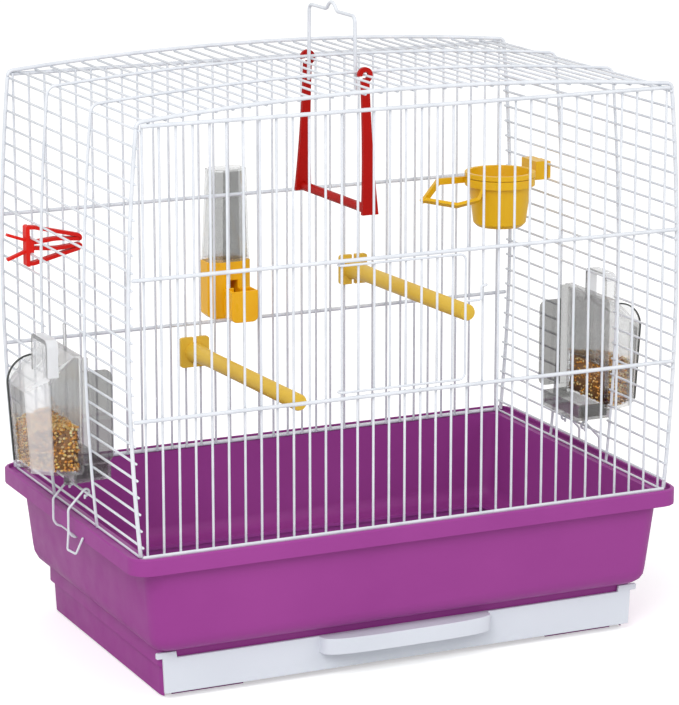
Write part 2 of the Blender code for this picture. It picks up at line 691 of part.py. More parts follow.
def tub():
    """The moulded base: rim, ledge for the wires, tapered basin, skirt and the bay for the drawer."""
    levels = [(SKIRT_FOOT, rounded(SKIRT_HALF_X - SKIRT_INSET - SKIRT_DRAFT, SKIRT_FRONT - SKIRT_INSET - SKIRT_DRAFT,
                                   SKIRT_BACK - SKIRT_INSET - SKIRT_DRAFT, SKIRT_R)),
              (SKIRT_BAND_FOOT - BAND_CHAMFER, rounded(SKIRT_HALF_X - SKIRT_INSET, SKIRT_FRONT - SKIRT_INSET,
                                                       SKIRT_BACK - SKIRT_INSET, SKIRT_R)),
              (SKIRT_BAND_FOOT, rounded(SKIRT_HALF_X, SKIRT_FRONT, SKIRT_BACK, SKIRT_R)),
              (BASIN_BOTTOM, rounded(SKIRT_HALF_X, SKIRT_FRONT, SKIRT_BACK, SKIRT_R))]
    inside = []
    for step in range(1, ARC_STEPS + 1):
        angle = math.pi / 2 * step / ARC_STEPS
        out = math.sin(angle)
        up = 1 - math.cos(angle)
        half_x = SKIRT_HALF_X + (WALL_FOOT_HALF_X - SKIRT_HALF_X) * out
        front = SKIRT_FRONT + (WALL_FOOT_FRONT - SKIRT_FRONT) * out
        back = SKIRT_BACK + (WALL_FOOT_BACK - SKIRT_BACK) * out
        height = BASIN_BOTTOM + (WALL_FOOT - BASIN_BOTTOM) * up
        radius = SKIRT_R + (WALL_R - SKIRT_R) * out
        levels.append((height, rounded(half_x, front, back, radius)))
        inside.append((height + BASIN_FLOOR * (1 - out), rounded(half_x - WALL, front - WALL, back - WALL,
                                                                 radius - WALL)))
    levels += [(RIM_BOTTOM, rounded(WALL_TOP_HALF_X, WALL_TOP_HALF_Y, WALL_TOP_HALF_Y, WALL_R)),
               (RIM_BOTTOM, rounded(RIM_HALF_X, RIM_HALF_Y, RIM_HALF_Y, RIM_R)),
               (RIM_TOP - RIM_ROUND, rounded(RIM_HALF_X, RIM_HALF_Y, RIM_HALF_Y, RIM_R)),
               (RIM_TOP, rounded(RIM_HALF_X - RIM_ROUND, RIM_HALF_Y - RIM_ROUND, RIM_HALF_Y - RIM_ROUND,
                                 RIM_R - RIM_ROUND))]
    made = place("base_tub", loft(levels), finish("base_tub", (0.4, 0.1, 0.34), 0.3))
    lip_x = RIM_HALF_X - LIP
    lip_y = RIM_HALF_Y - LIP
    lip_r = RIM_R - LIP
    wall_x = WALL_TOP_HALF_X - WALL
    wall_y = WALL_TOP_HALF_Y - WALL
    ledge = lift(LEDGE_LEVEL)
    draft_y = wall_y - (RIM_BOTTOM - BASIN_BOTTOM) / RIM_BOTTOM * WALL
    floor_half = (SKIRT_HALF_X - WALL, SKIRT_FRONT - WALL, SKIRT_BACK - WALL, SKIRT_R - WALL)
    opening = rounded(BASIN_OPEN_HALF_X, BASIN_OPEN_FRONT, BASIN_OPEN_BACK, BASIN_OPEN_R)
    basin = [(BASIN_BOTTOM - OVERRUN, opening),
             (BASIN_BOTTOM + BASIN_FLOOR, opening),
             (BASIN_BOTTOM + BASIN_FLOOR, rounded(*floor_half))]
    basin += inside
    basin += [(ledge, rounded(wall_x, draft_y, draft_y, WALL_R - WALL)),
              (ledge, rounded(lip_x, lip_y, lip_y, lip_r)),
              (RIM_TOP + OVERRUN, rounded(lip_x, lip_y, lip_y, lip_r))]
    combine(made, "basin", loft(basin), "DIFFERENCE")
    combine(made, "bay", box((-BAY_HALF_X, -RIM_HALF_Y, BAY_FLOOR_TOP), (BAY_HALF_X, BAY_BACK, BASIN_BOTTOM)),
            "DIFFERENCE")
    combine(made, "face", box((-RIM_HALF_X, -RIM_HALF_Y, -OVERRUN), (RIM_HALF_X, -TUB_FACE, BASIN_BOTTOM)),
            "DIFFERENCE")
    combine(made, "sill", box((-BAY_HALF_X, -RIM_HALF_Y, -OVERRUN),
                              (BAY_HALF_X, -BAY_FLOOR_FRONT, BAY_FLOOR_TOP + BITE)), "DIFFERENCE")
    combine(made, "underside", box((-BAY_HALF_X, -RIM_HALF_Y, -OVERRUN), (BAY_HALF_X, BAY_BACK, BAY_FLOOR_BOTTOM)),
            "DIFFERENCE")
    feet = bmesh.new()
    for x_sign in (-1, 1):
        for y_sign in (-1, 1):
            xs = sorted((x_sign * FOOT_IN_X, x_sign * FOOT_OUT_X))
            ys = sorted((y_sign * FOOT_IN_Y, y_sign * (BAY_FLOOR_FRONT - BITE)))
            add_box(feet, (xs[0], ys[0], 0), (xs[1], ys[1], BAY_FLOOR_BOTTOM + BITE))
    combine(made, "feet", feet)


def pull_outline(half_x, reach):
    """The half-moon of the drawer's pull, with its flat side on the drawer's front."""
    front = TUB_FACE + GAP + DRAWER_FRONT_DEPTH
    points = []
    for step in range(PULL_STEPS + 1):
        angle = math.pi * step / PULL_STEPS
        x = half_x * math.copysign(abs(math.cos(angle)) ** PULL_ROUND_SHARE, math.cos(angle))
        points.append((x, -front - reach * math.sin(angle) ** PULL_ROUND_SHARE))
    points += [(-half_x, BITE - front), (half_x, BITE - front)]
    return points


def drawer():
    """The slide-out tray with its front, its two ears and its pull."""
    bottom = BAY_FLOOR_TOP + GAP
    top = bottom + DRAWER_HEIGHT
    face = TUB_FACE + GAP
    half_x = BAY_HALF_X - 2 * GAP
    back = BAY_BACK - 3 * GAP
    made = place("drawer", box((-half_x, -face - BITE, bottom), (half_x, back, DRAWER_TRAY_TOP)),
                 finish("drawer", (0.68, 0.72, 0.75), 0.35))
    combine(made, "hollow", box((DRAWER_WALL - half_x, DRAWER_WALL - face, bottom + DRAWER_WALL),
                                (half_x - DRAWER_WALL, back - DRAWER_WALL, top + OVERRUN)), "DIFFERENCE")
    panel = [(-DRAWER_FOOT_HALF_X, bottom), (DRAWER_FOOT_HALF_X, bottom), (DRAWER_TOP_HALF_X, top),
             (EAR_OUT_X - BITE, top), (EAR_OUT_X, top + BITE), (EAR_OUT_X, top + EAR_HEIGHT - BITE),
             (EAR_OUT_X - BITE, top + EAR_HEIGHT), (EAR_IN_X + BITE, top + EAR_HEIGHT), (EAR_IN_X, top)]
    panel += [(-x, z) for x, z in reversed(panel[2:])]
    combine(made, "front", plate(panel, -face - DRAWER_FRONT_DEPTH, -face, 1))
    low = top - PULL_HEIGHT
    outer = plate(pull_outline(PULL_HALF_X, PULL_REACH), low, top, 2)
    combine(made, "pull", outer)
    inner = pull_outline(PULL_HALF_X - PULL_WALL, PULL_REACH - PULL_WALL)
    inner = [(x, min(y, -face - DRAWER_FRONT_DEPTH)) for x, y in inner]
    combine(made, "pull_hollow", plate(inner, low - OVERRUN, top - PULL_WALL, 2), "DIFFERENCE")


def hull(points):
    """The closed solid round a few corner points."""
    bm = bmesh.new()
    for point in points:
        bm.verts.new(point)
    made = bmesh.ops.convex_hull(bm, input=bm.verts)
    loose = [part for part in made["geom_interior"] + made["geom_unused"] if isinstance(part, bmesh.types.BMVert)]
    bmesh.ops.delete(bm, geom=loose, context="VERTS")
    bmesh.ops.dissolve_limit(bm, angle_limit=math.radians(0.5), verts=bm.verts, edges=bm.edges)
    return bm


def hopper_points(inset, drop):
    """Corners of the hopper's faceted outline, moved in by a wall."""
    side_out = HOPPER_SIDE_OUT
    bottom = lift(HOPPER_BOTTOM_LEVEL) + inset
    corners = []
    for y_sign in (-1, 1):
        rim = ((inset, HOPPER_POST_Y - inset, HOPPER_SIDE_TOP_LEVEL),
               (side_out, HOPPER_POST_Y - inset, HOPPER_SIDE_TOP_LEVEL),
               (HOPPER_BEND_OUT - inset / 2, HOPPER_BEND_Y - inset, HOPPER_BEND_TOP_LEVEL),
               (HOPPER_FACE_OUT - inset, HOPPER_FACE_Y - inset / 2, HOPPER_FACE_TOP_LEVEL))
        for out, y, top_level in rim:
            corners += [(-out, y_sign * y, bottom), (-out, y_sign * y, lift(top_level) - drop)]
        for out in (inset, HOPPER_RIDGE_OUT):
            corners.append((-out, y_sign * (HOPPER_RIDGE_Y - inset), lift(HOPPER_RIDGE_LEVEL) - drop))
    return corners


def feeder(name, turn):
    """A clear seed feeder on a vertical swivel: faceted hopper outside, tray and cheek inside, grip on top."""
    made_from = hull(hopper_points(0, 0))
    wall = FEEDER_WALL
    tray = box((-wall / 2, -TRAY_HALF_Y, lift(TRAY_BOTTOM_LEVEL)), (TRAY_REACH, TRAY_HALF_Y, lift(TRAY_TOP_LEVEL)))
    tray_hollow = box((-wall * 2, wall - TRAY_HALF_Y, lift(HOPPER_BOTTOM_LEVEL) + wall),
                      (TRAY_REACH - wall, TRAY_HALF_Y - wall, lift(TRAY_TOP_LEVEL) + OVERRUN))
    slot = box((-wall * 2, -SLOT_HALF_Y, lift(HOPPER_BOTTOM_LEVEL) + wall), (OVERRUN, SLOT_HALF_Y, lift(SLOT_TOP_LEVEL)))
    cavity = hull(hopper_points(wall, wall * 1.3))
    fill = box((-FILL_OUT, FILL_NEAR_Y, lift(HOPPER_SIDE_TOP_LEVEL)),
               (-FILL_IN, FILL_FAR_Y, lift(HOPPER_RIDGE_LEVEL) + OVERRUN))
    post = box((-POST_OUT, -HOPPER_POST_Y - POST_DEPTH, lift(POST_BOTTOM_LEVEL)),
               (POST_IN, BITE - HOPPER_POST_Y, lift(POST_TOP_LEVEL)))
    cheek_line = [(-BITE, lift(CHEEK_BOTTOM_LEVEL))]
    cheek_line += arc((CHEEK_REACH - CHEEK_R, lift(CHEEK_BOTTOM_LEVEL) + CHEEK_R), CHEEK_R, -90, 0, 3)
    cheek_line += arc((CHEEK_REACH - CHEEK_R, lift(CHEEK_TOP_LEVEL) - CHEEK_R), CHEEK_R, 0, 90, 3)
    cheek_line.append((-BITE, lift(CHEEK_TOP_LEVEL)))
    cheek = plate(cheek_line, BITE / 2 - HOPPER_POST_Y, BITE / 2 - HOPPER_POST_Y + wall, 1)
    foot = disc(BOSS_R, 0, 0, lift(side_wire_level(LATCH_WIRE)) + THIN_HALF + GAP, lift(HOPPER_BOTTOM_LEVEL) + BITE)
    head = disc(BOSS_R, 0, 0, lift(HOPPER_RIDGE_LEVEL) - wall - BITE,
                lift(side_wire_level(WINDOW_LAST + 1)) - THIN_HALF - GAP, BOSS_TOP_R)
    shield_middle = (SHIELD_R - HOPPER_FACE_OUT, lift(SHIELD_TOP_LEVEL) - SHIELD_R)
    shield_line = arc(shield_middle, SHIELD_R, 180, 90, 6)
    shield_line = [(max(x, BITE - HOPPER_FACE_OUT), z) for x, z in shield_line]
    shield_line += [(shield_middle[0], lift(SHIELD_TOP_LEVEL) - 2 * wall), (BITE - HOPPER_FACE_OUT,
                                                                         lift(HOPPER_FACE_TOP_LEVEL) - wall)]
    shield = plate(shield_line, HOPPER_FACE_Y - wall, HOPPER_FACE_Y - BITE / 2, 1)
    grip = bmesh.new()
    top = lift(GRIP_TOP_LEVEL)
    foot_z = lift(GRIP_FOOT_LEVEL)
    fall = (top - foot_z) / 4
    route = [(-GRIP_OUT - BITE, BITE, foot_z), (-GRIP_OUT - BITE, 0, top - 2 * fall), (-GRIP_OUT, -fall, top - fall / 3),
             (-GRIP_OUT, -GRIP_REACH_Y / 2, top), (-GRIP_OUT + BITE, -GRIP_REACH_Y + fall, top - fall / 3),
             (-GRIP_OUT + 2 * BITE, -GRIP_REACH_Y, top - 2 * fall),
             (-GRIP_OUT + 3 * BITE, -GRIP_REACH_Y + BITE, foot_z - fall)]
    sweep(grip, route, oblong(GRIP_HALF_WIDTH, GRIP_HALF_DEPTH), (1, 0, 0))
    steps = (("hollow", cavity, "DIFFERENCE"), ("tray", tray, "UNION"), ("post", post, "UNION"),
             ("cheek", cheek, "UNION"), ("shield", shield, "UNION"), ("grip", grip, "UNION"),
             ("foot", foot, "UNION"), ("head", head, "UNION"), ("tray_hollow", tray_hollow, "DIFFERENCE"),
             ("slot", slot, "DIFFERENCE"), ("fill", fill, "DIFFERENCE"))
    move = turn @ Matrix.Translation((-FEEDER_X, 0, 0))
    bmesh.ops.transform(made_from, matrix=move, verts=made_from.verts)
    axis = move @ Vector((0, 0, lift(HOPPER_BOTTOM_LEVEL)))
    made = place(name, made_from, finish(name, (0.85, 0.88, 0.9), 0.1, 0.45, 0.6), axis)
    for label, bm, operation in steps:
        bmesh.ops.transform(bm, matrix=move, verts=bm.verts)
        combine(made, label, bm, operation)


def handle():
    """The wire carry handle, which slides down between the two middle arches."""
    top = lift(HANDLE_TOP_LEVEL)
    corner = HANDLE_CORNER_R
    half = [(0, top + HANDLE_BUMP), (HANDLE_BUMP_HALF * 0.5, top + HANDLE_BUMP * 0.75),
            (HANDLE_BUMP_HALF, top), (HANDLE_HALF_TOP - corner, top)]
    half += arc((HANDLE_HALF_TOP - corner, top - corner), corner, 90, 0, 3)[1:]
    half.append((HANDLE_HALF_FOOT, lift(HANDLE_FOOT_LEVEL)))
    line = [(-y, z) for y, z in reversed(half)] + half[1:]
    bm = bmesh.new()
    sweep(bm, [(HANDLE_X, y, z) for y, z in line], ngon(HANDLE_R, 8), (1, 0, 0))
    place("carry_handle", bm, white_wire("carry_handle"), (HANDLE_X, 0, top))


def swing():
    """A moulded swing: two flat arms that hook over the middle roof wire, and a round bar."""
    pivot_z = lift(roof_level(0) - WELD_STEP)
    bar_z = lift(SWING_BAR_LEVEL)
    foot_z = lift(SWING_FOOT_LEVEL)
    axis = (0, 0, pivot_z)
    bar = bmesh.new()
    reach = SWING_FOOT_Y + SWING_ARM_HALF_Y / 2
    sweep(bar, [(0, -reach, bar_z), (0, reach, bar_z)], ngon(SWING_BAR_R, 12), (0, 0, 1))
    made = place("swing", bar, finish("swing", (0.5, 0.02, 0.02), 0.35), axis)
    for label, y_sign in (("front_arm", -1), ("back_arm", 1)):
        arm = bmesh.new()
        top_z = pivot_z - SWING_HOOK_R + SWING_HOOK_HALF / 2
        spans = ((foot_z, SWING_ARM_FOOT_HALF, SWING_FOOT_Y), (bar_z + SWING_BAR_R, SWING_ARM_FOOT_HALF, SWING_FOOT_Y),
                 (top_z, SWING_ARM_TOP_HALF, SWING_HOOK_Y))
        rings = []
        for z, half_x, y in spans:
            ring = [(half_x, y - SWING_ARM_HALF_Y), (half_x, y + SWING_ARM_HALF_Y),
                    (-half_x, y + SWING_ARM_HALF_Y), (-half_x, y - SWING_ARM_HALF_Y)]
            rings.append([arm.verts.new((a, y_sign * b, z)) for a, b in ring])
        bridge(arm, rings)
        combine(made, label, arm)
        hook = bmesh.new()
        y = y_sign * SWING_HOOK_Y
        line = [(a, y, b) for a, b in arc((0, pivot_z), SWING_HOOK_R, -110, 190, 10)]
        sweep(hook, line, oblong(SWING_ARM_HALF_Y - BITE / 4, SWING_HOOK_HALF), (0, 1, 0))
        combine(made, label + "_hook", hook)


def perch(name, right_vertical, level):
    """A round perch with a flared root, a two-lobed plate inside the back wires and a tie behind them."""
    x = (vertical_x(right_vertical) + vertical_x(right_vertical - 1)) / 2
    z = lift(level)
    back = CAGE_HALF_DEPTH - THIN_HALF - GAP
    face = back - PERCH_PLATE_DEPTH
    tip = Vector((x, face - PERCH_LENGTH, z + PERCH_RISE))
    root = Vector((x, face + BITE, z))
    run = tip - root
    rod = bmesh.new()
    aim = run.to_track_quat("Z", "Y").to_matrix().to_4x4()
    spans = ((0, PERCH_FLARE_R), (PERCH_FLARE_LENGTH * 0.3, PERCH_FLARE_R * 0.85), (PERCH_FLARE_LENGTH, PERCH_R),
             (run.length - BITE, PERCH_R), (run.length, PERCH_R - BITE))
    rings = [[rod.verts.new((a, b, along)) for a, b in ngon(radius, 14)] for along, radius in spans]
    bridge(rod, rings)
    bmesh.ops.transform(rod, matrix=Matrix.Translation(root) @ aim, verts=rod.verts)
    made = place(name, rod, finish(name, (0.66, 0.4, 0.03), 0.4))
    half = PERCH_PLATE_HALF
    r = PERCH_PLATE_R
    lobe = arc((x + half - r, z + half - r), r, 90, 0, 3) + arc((x + half - r, z - half + r), r, 0, -90, 3)
    notch = [(x + PERCH_NOTCH, z - half), (x, z - half + PERCH_NOTCH), (x - PERCH_NOTCH, z - half)]
    outline = lobe + notch + [(2 * x - a, 2 * z - b) for a, b in lobe]
    outline += [(2 * x - a, 2 * z - b) for a, b in notch]
    combine(made, "plate", plate(outline, face, back, 1))
    neck_half = VERTICAL_PITCH / 2 - THIN_HALF - GAP
    tie_face = CAGE_HALF_DEPTH + THIN_HALF + GAP
    neck = box((x - neck_half, back - BITE, z - PERCH_TIE_HALF_Z), (x + neck_half, tie_face + BITE, z + PERCH_TIE_HALF_Z))
    combine(made, "neck", neck)
    tie = box((x - half * 0.8, tie_face, z - PERCH_TIE_HALF_Z - BITE),
              (x + half * 0.8, tie_face + PERCH_TIE_DEPTH, z + PERCH_TIE_HALF_Z + BITE))
    combine(made, "tie", tie)


def facet_outline(half_x, depth, x, face_y):
    """An eight-sided outline that stands behind the back wires."""
    flat = half_x * DRINKER_FACET_SHARE
    cut = depth * DRINKER_FACET_SHARE / 2
    return [(x - half_x, face_y + cut), (x - flat, face_y), (x + flat, face_y), (x + half_x, face_y + cut),
            (x + half_x, face_y + depth - cut), (x + flat, face_y + depth), (x - flat, face_y + depth),
            (x - half_x, face_y + depth - cut)]


def drinker():
    """A tapered clear bottle on a moulded base, whose trough reaches in between two back wires."""
    x = DRINKER_X
    face = DRINKER_FACE_Y
    bottom = lift(DRINKER_BASE_BOTTOM_LEVEL)
    top = lift(DRINKER_BASE_TOP_LEVEL)
    middle_y = face + DRINKER_DEPTH / 2
    draft = DRINKER_WALL * 2
    base = place("drinker_base", loft([(bottom, facet_outline(DRINKER_HALF_X - draft, DRINKER_DEPTH - draft, x, face)),
                                       (bottom + draft, facet_outline(DRINKER_HALF_X, DRINKER_DEPTH, x, face)),
                                       (top, facet_outline(DRINKER_HALF_X, DRINKER_DEPTH, x, face))]),
                 finish("drinker_base", (0.9, 0.42, 0.0), 0.3))
    trough_x = (vertical_x(DOOR_FIRST + 2) + vertical_x(DOOR_FIRST + 3)) / 2
    trough_back = CAGE_HALF_DEPTH - THIN_HALF - GAP
    t_low = lift(TROUGH_BOTTOM_LEVEL)
    t_high = lift(TROUGH_TOP_LEVEL)
    half = TROUGH_HALF_X
    line = [(trough_x - a, b) for a, b in arc((half - TROUGH_R, t_low + TROUGH_R), TROUGH_R, 0, -90, 3)]
    line += [(2 * trough_x - a, b) for a, b in reversed(line)]
    line += [(trough_x + half, t_high), (trough_x - half, t_high)]
    combine(base, "trough", plate(line, TROUGH_FRONT_Y, trough_back, 1))
    combine(base, "neck", box((trough_x - NECK_HALF_X, trough_back - BITE, lift(NECK_BOTTOM_LEVEL)),
                              (trough_x + NECK_HALF_X, face + BITE, lift(NECK_TOP_LEVEL))))
    wall = TROUGH_WALL
    combine(base, "trough_hollow", box((trough_x - half + wall, TROUGH_FRONT_Y + wall, t_low + wall),
                                       (trough_x + half - wall, trough_back - wall, t_high + OVERRUN)), "DIFFERENCE")
    combine(base, "channel", box((trough_x - NECK_HALF_X + wall, trough_back - 2 * wall, lift(NECK_BOTTOM_LEVEL) + wall),
                                 (trough_x + NECK_HALF_X - wall, middle_y, lift(NECK_TOP_LEVEL) + OVERRUN)),
            "DIFFERENCE")
    combine(base, "socket", disc(DRINKER_NECK_R + GAP, x, middle_y, lift(NECK_BOTTOM_LEVEL) + wall, top + OVERRUN),
            "DIFFERENCE")
    bottle = place("drinker_bottle",
                   loft([(top + GAP, facet_outline(DRINKER_HALF_X - GAP, DRINKER_DEPTH - GAP, x, face)),
                         (lift(DRINKER_TOP_LEVEL), facet_outline(DRINKER_TOP_HALF_X, DRINKER_TOP_DEPTH, x, face))]),
                   finish("drinker_bottle", (0.8, 0.83, 0.85), 0.08, 0.45, 0.6))
    combine(bottle, "neck", disc(DRINKER_NECK_R, x, middle_y, top - DRINKER_NECK_LENGTH, top + BITE + GAP))
    wall = DRINKER_WALL
    hollow = loft([(top + wall, facet_outline(DRINKER_HALF_X - wall, DRINKER_DEPTH - 2 * wall, x, face + wall)),
                   (lift(DRINKER_TOP_LEVEL) - wall,
                    facet_outline(DRINKER_TOP_HALF_X - wall, DRINKER_TOP_DEPTH - 2 * wall, x, face + wall))])
    combine(bottle, "hollow", hollow, "DIFFERENCE")
    combine(bottle, "mouth", disc(DRINKER_NECK_R - wall, x, middle_y, top - 2 * DRINKER_NECK_LENGTH, top + 2 * wall),
            "DIFFERENCE")
    hook_top = lift(DRINKER_TOP_LEVEL) - BITE
    hook_face = CAGE_HALF_DEPTH + THIN_HALF + GAP
    combine(bottle, "hook", box((x - DRINKER_TOP_HALF_X * DRINKER_FACET_SHARE, hook_face, hook_top - HOOK_HEIGHT),
                                (x - DRINKER_TOP_HALF_X * DRINKER_FACET_SHARE + 2 * HOOK_HALF_X, face + BITE, hook_top)))


def cup():
    """The bath cup, hung by its flange in the holder's ring."""
    top = lift(CUP_TOP_LEVEL)
    bottom = lift(CUP_BOTTOM_LEVEL)
    wall = CUP_WALL
    under = top - CUP_FLANGE_HEIGHT
    profile = [(0, bottom), (CUP_FOOT_R - CUP_FOOT_ROUND, bottom), (CUP_FOOT_R, bottom + CUP_FOOT_ROUND),
               (CUP_TOP_R, under), (CUP_FLANGE_R, under), (CUP_FLANGE_R, top), (CUP_TOP_R - wall / 2, top),
               (CUP_FOOT_R - wall, bottom + CUP_FOOT_ROUND + wall / 2), (CUP_FOOT_R - CUP_FOOT_ROUND, bottom + wall),
               (0, bottom + wall)]
    place("bath_cup", turned(profile, CUP_X, CUP_Y, CUP_SIDES), finish("bath_cup", (0.75, 0.42, 0.0), 0.35))


def cup_holder():
    """A ring round the cup with a landing loop, and a clip that grips between two side wires."""
    top = lift(CUP_TOP_LEVEL) - CUP_FLANGE_HEIGHT - GAP
    low = top - HOLDER_HEIGHT
    inner = CUP_TOP_R + GAP
    outer = inner + HOLDER_WALL
    profile = [(inner, low), (outer, low), (outer, top), (inner, top)]
    made = place("cup_holder", turned(profile, CUP_X, CUP_Y, CUP_SIDES), finish("cup_holder", (0.76, 0.43, 0.01), 0.35))
    middle = (top + low) / 2
    root = CUP_X - outer
    loop = bmesh.new()
    drop = LANDING_DROP
    route = [(root + LANDING_TIP, CUP_Y + LANDING_FAR_Y, middle), (root - LANDING_REACH * 0.5, CUP_Y + LANDING_FAR_Y, middle),
             (root - LANDING_REACH, CUP_Y, middle - drop * 0.75), (root - LANDING_REACH * 0.45, CUP_Y + LANDING_NEAR_Y,
                                                                  middle - drop),
             (root + HOLDER_WALL, CUP_Y + LANDING_NEAR_Y, middle - drop * 0.8), (root + LANDING_TIP * 1.6, CUP_Y +
                                                                              LANDING_NEAR_Y, middle)]
    sweep(loop, route, oblong(HOLDER_BAND_HALF, HOLDER_HEIGHT / 2 - BITE), (0, 1, 0))
    combine(made, "landing", loop)
    tip = bmesh.new()
    where = Vector((root - LANDING_REACH + HOLDER_BAND_HALF, CUP_Y, middle - drop * 0.75))
    sweep(tip, [where, where - Vector((LANDING_TIP, 0, 0))], ngon(HOLDER_HEIGHT / 2 - BITE, 4), (0, 0, 1))
    combine(made, "tip", tip)
    wire_x = side_wire_x(CLIP_WIRE)
    inner_face = side_wire_x(CLIP_WIRE + 1) - THIN_HALF - GAP
    outer_face = wire_x + THIN_HALF + GAP
    block_low = lift(CLIP_BLOCK_BOTTOM_LEVEL)
    block_high = lift(CLIP_BLOCK_TOP_LEVEL)
    block = box((inner_face - CLIP_BLOCK_DEPTH, CLIP_Y - CLIP_BLOCK_HALF_Y, block_low),
                (inner_face, CLIP_Y + CLIP_BLOCK_HALF_Y, block_high))
    combine(made, "block", block)
    web = box((CUP_X + CUP_FOOT_R, CLIP_Y - CLIP_BLOCK_HALF_Y, low),
              (inner_face - CLIP_BLOCK_DEPTH + BITE, CUP_Y + LANDING_FAR_Y, top))
    combine(made, "web", web)
    bore = disc(inner, CUP_X, CUP_Y, low - OVERRUN, block_high + OVERRUN)
    combine(made, "bore", bore, "DIFFERENCE")
    flange_room = disc(CUP_FLANGE_R + GAP, CUP_X, CUP_Y, top, block_high + OVERRUN)
    combine(made, "flange_room", flange_room, "DIFFERENCE")
    neck_low = lift(side_wire_level(CLIP_WIRE)) + THIN_HALF + GAP
    neck_high = lift(side_wire_level(CLIP_WIRE + 1)) - THIN_HALF - GAP
    neck_in = CLIP_TAB_HALF_Y * 0.6
    combine(made, "neck", box((inner_face - BITE, CLIP_Y - neck_in, neck_low),
                              (outer_face + BITE, CLIP_Y + neck_in, neck_high)))
    combine(made, "tab", box((outer_face, CLIP_Y - CLIP_TAB_HALF_Y, block_low),
                             (outer_face + CLIP_TAB_DEPTH, CLIP_Y + CLIP_TAB_HALF_Y, block_high - 2 * BITE)))


def greens_clip():
    """A sprung clip for greens: a body outside the left wires, two finger prongs and two jaw loops inside."""
    wire_x = side_wire_x(GREENS_WIRE)
    outer_face = wire_x + THIN_HALF + 2 * GAP
    inner_face = wire_x - THIN_HALF - 2 * GAP
    low = lift(side_wire_level(GREENS_WIRE)) + THIN_HALF + GAP
    high = lift(side_wire_level(GREENS_WIRE + 1)) - THIN_HALF - GAP
    middle = (low + high) / 2
    y_low = GREENS_Y - GREENS_HALF_Y
    y_high = GREENS_Y + GREENS_HALF_Y
    body_out = outer_face + GREENS_BODY_DEPTH
    half = GREENS_BODY_HALF
    bulge = GREENS_BODY_DEPTH / 3
    outline = [(-outer_face, middle - half), (-outer_face, middle + half), (bulge - body_out, middle + half),
               (-body_out, middle + half / 2), (-body_out, middle - half / 2), (bulge - body_out, middle - half)]
    made = place("greens_clip", plate(outline, y_low, y_high, 1), finish("greens_clip", (0.75, 0.02, 0.01), 0.35))
    root = inner_face - GREENS_ROOT_DEPTH
    combine(made, "root", box((-body_out + bulge, y_low + BITE, low), (-root, y_high - BITE, high)))
    for label, sign in (("upper", 1), ("lower", -1)):
        prong = bmesh.new()
        start = (-outer_face - bulge, GREENS_Y, middle + sign * GREENS_PRONG_SPREAD / 4)
        end = (-body_out - GREENS_PRONG_REACH, GREENS_Y, middle + sign * GREENS_PRONG_SPREAD)
        sweep(prong, [start, end], oblong(GREENS_HALF_Y - BITE, GREENS_PRONG_HALF), (0, 1, 0))
        combine(made, label + "_prong", prong)
        jaw = bmesh.new()
        reach = GREENS_JAW_REACH
        high_z = middle + sign * half * 0.95
        route = [(BITE - root - GREENS_ROOT_DEPTH / 2, GREENS_Y, middle + sign * (high - low) * 0.32),
                 (reach * 0.22 - root, GREENS_Y, high_z), (reach * 0.62 - root, GREENS_Y, high_z - sign * half * 0.25),
                 (reach - root, GREENS_Y, middle + sign * half * 0.42),
                 (reach * 0.94 - root, GREENS_Y, middle + sign * GREENS_JAW_HALF * 1.6),
                 (reach * 0.3 - root, GREENS_Y, middle + sign * GREENS_JAW_HALF * 1.6),
                 (-root - GREENS_ROOT_DEPTH / 2, GREENS_Y, middle + sign * GREENS_JAW_HALF * 1.6)]
        sweep(jaw, route, oblong(GREENS_HALF_Y - 2 * BITE, GREENS_JAW_HALF), (0, 1, 0))
        combine(made, label + "_jaw", jaw)


NO_TURN = Matrix.Identity(4)

tub()
drawer()
front_or_back_panel("front_panel", -1, True)
front_or_back_panel("back_panel", 1, False)
side_panel("left_side", -1)
side_panel("right_side", 1)
roof_panel()
rail("front_rail_low", -1, LOW_RAIL_LEVEL)
rail("front_rail_mid", -1, MID_RAIL_LEVEL)
rail("back_rail_low", 1, LOW_RAIL_LEVEL)
rail("back_rail_mid", 1, MID_RAIL_LEVEL)
middle_arch("arch_mid_front", -MID_ARCH_Y)
middle_arch("arch_mid_back", MID_ARCH_Y)
door()
latch("latch_left", NO_TURN)
latch("latch_right", HALF_TURN)
feeder("feeder_left", NO_TURN)
feeder("feeder_right", HALF_TURN)
handle()
swing()
for perch_name, perch_vertical, perch_level in PERCHES:
    perch("perch_" + perch_name, perch_vertical, perch_level)
drinker()
cup()
cup_holder()
greens_clip()

for item in bpy.data.objects:
    item.location.y -= (DRINKER_FACE_Y + DRINKER_DEPTH - RIM_HALF_Y) / 2
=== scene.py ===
"""Looks of the bird cage: coated wires, moulded plastics with soft edges, seed, floor, light and camera.

Metres, +Z up, front at -Y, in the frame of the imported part. Most wires follow the routes of the CAD wires.
"""

import itertools
import math
import random

import bmesh
import bpy
from mathutils import Matrix, Vector, noise

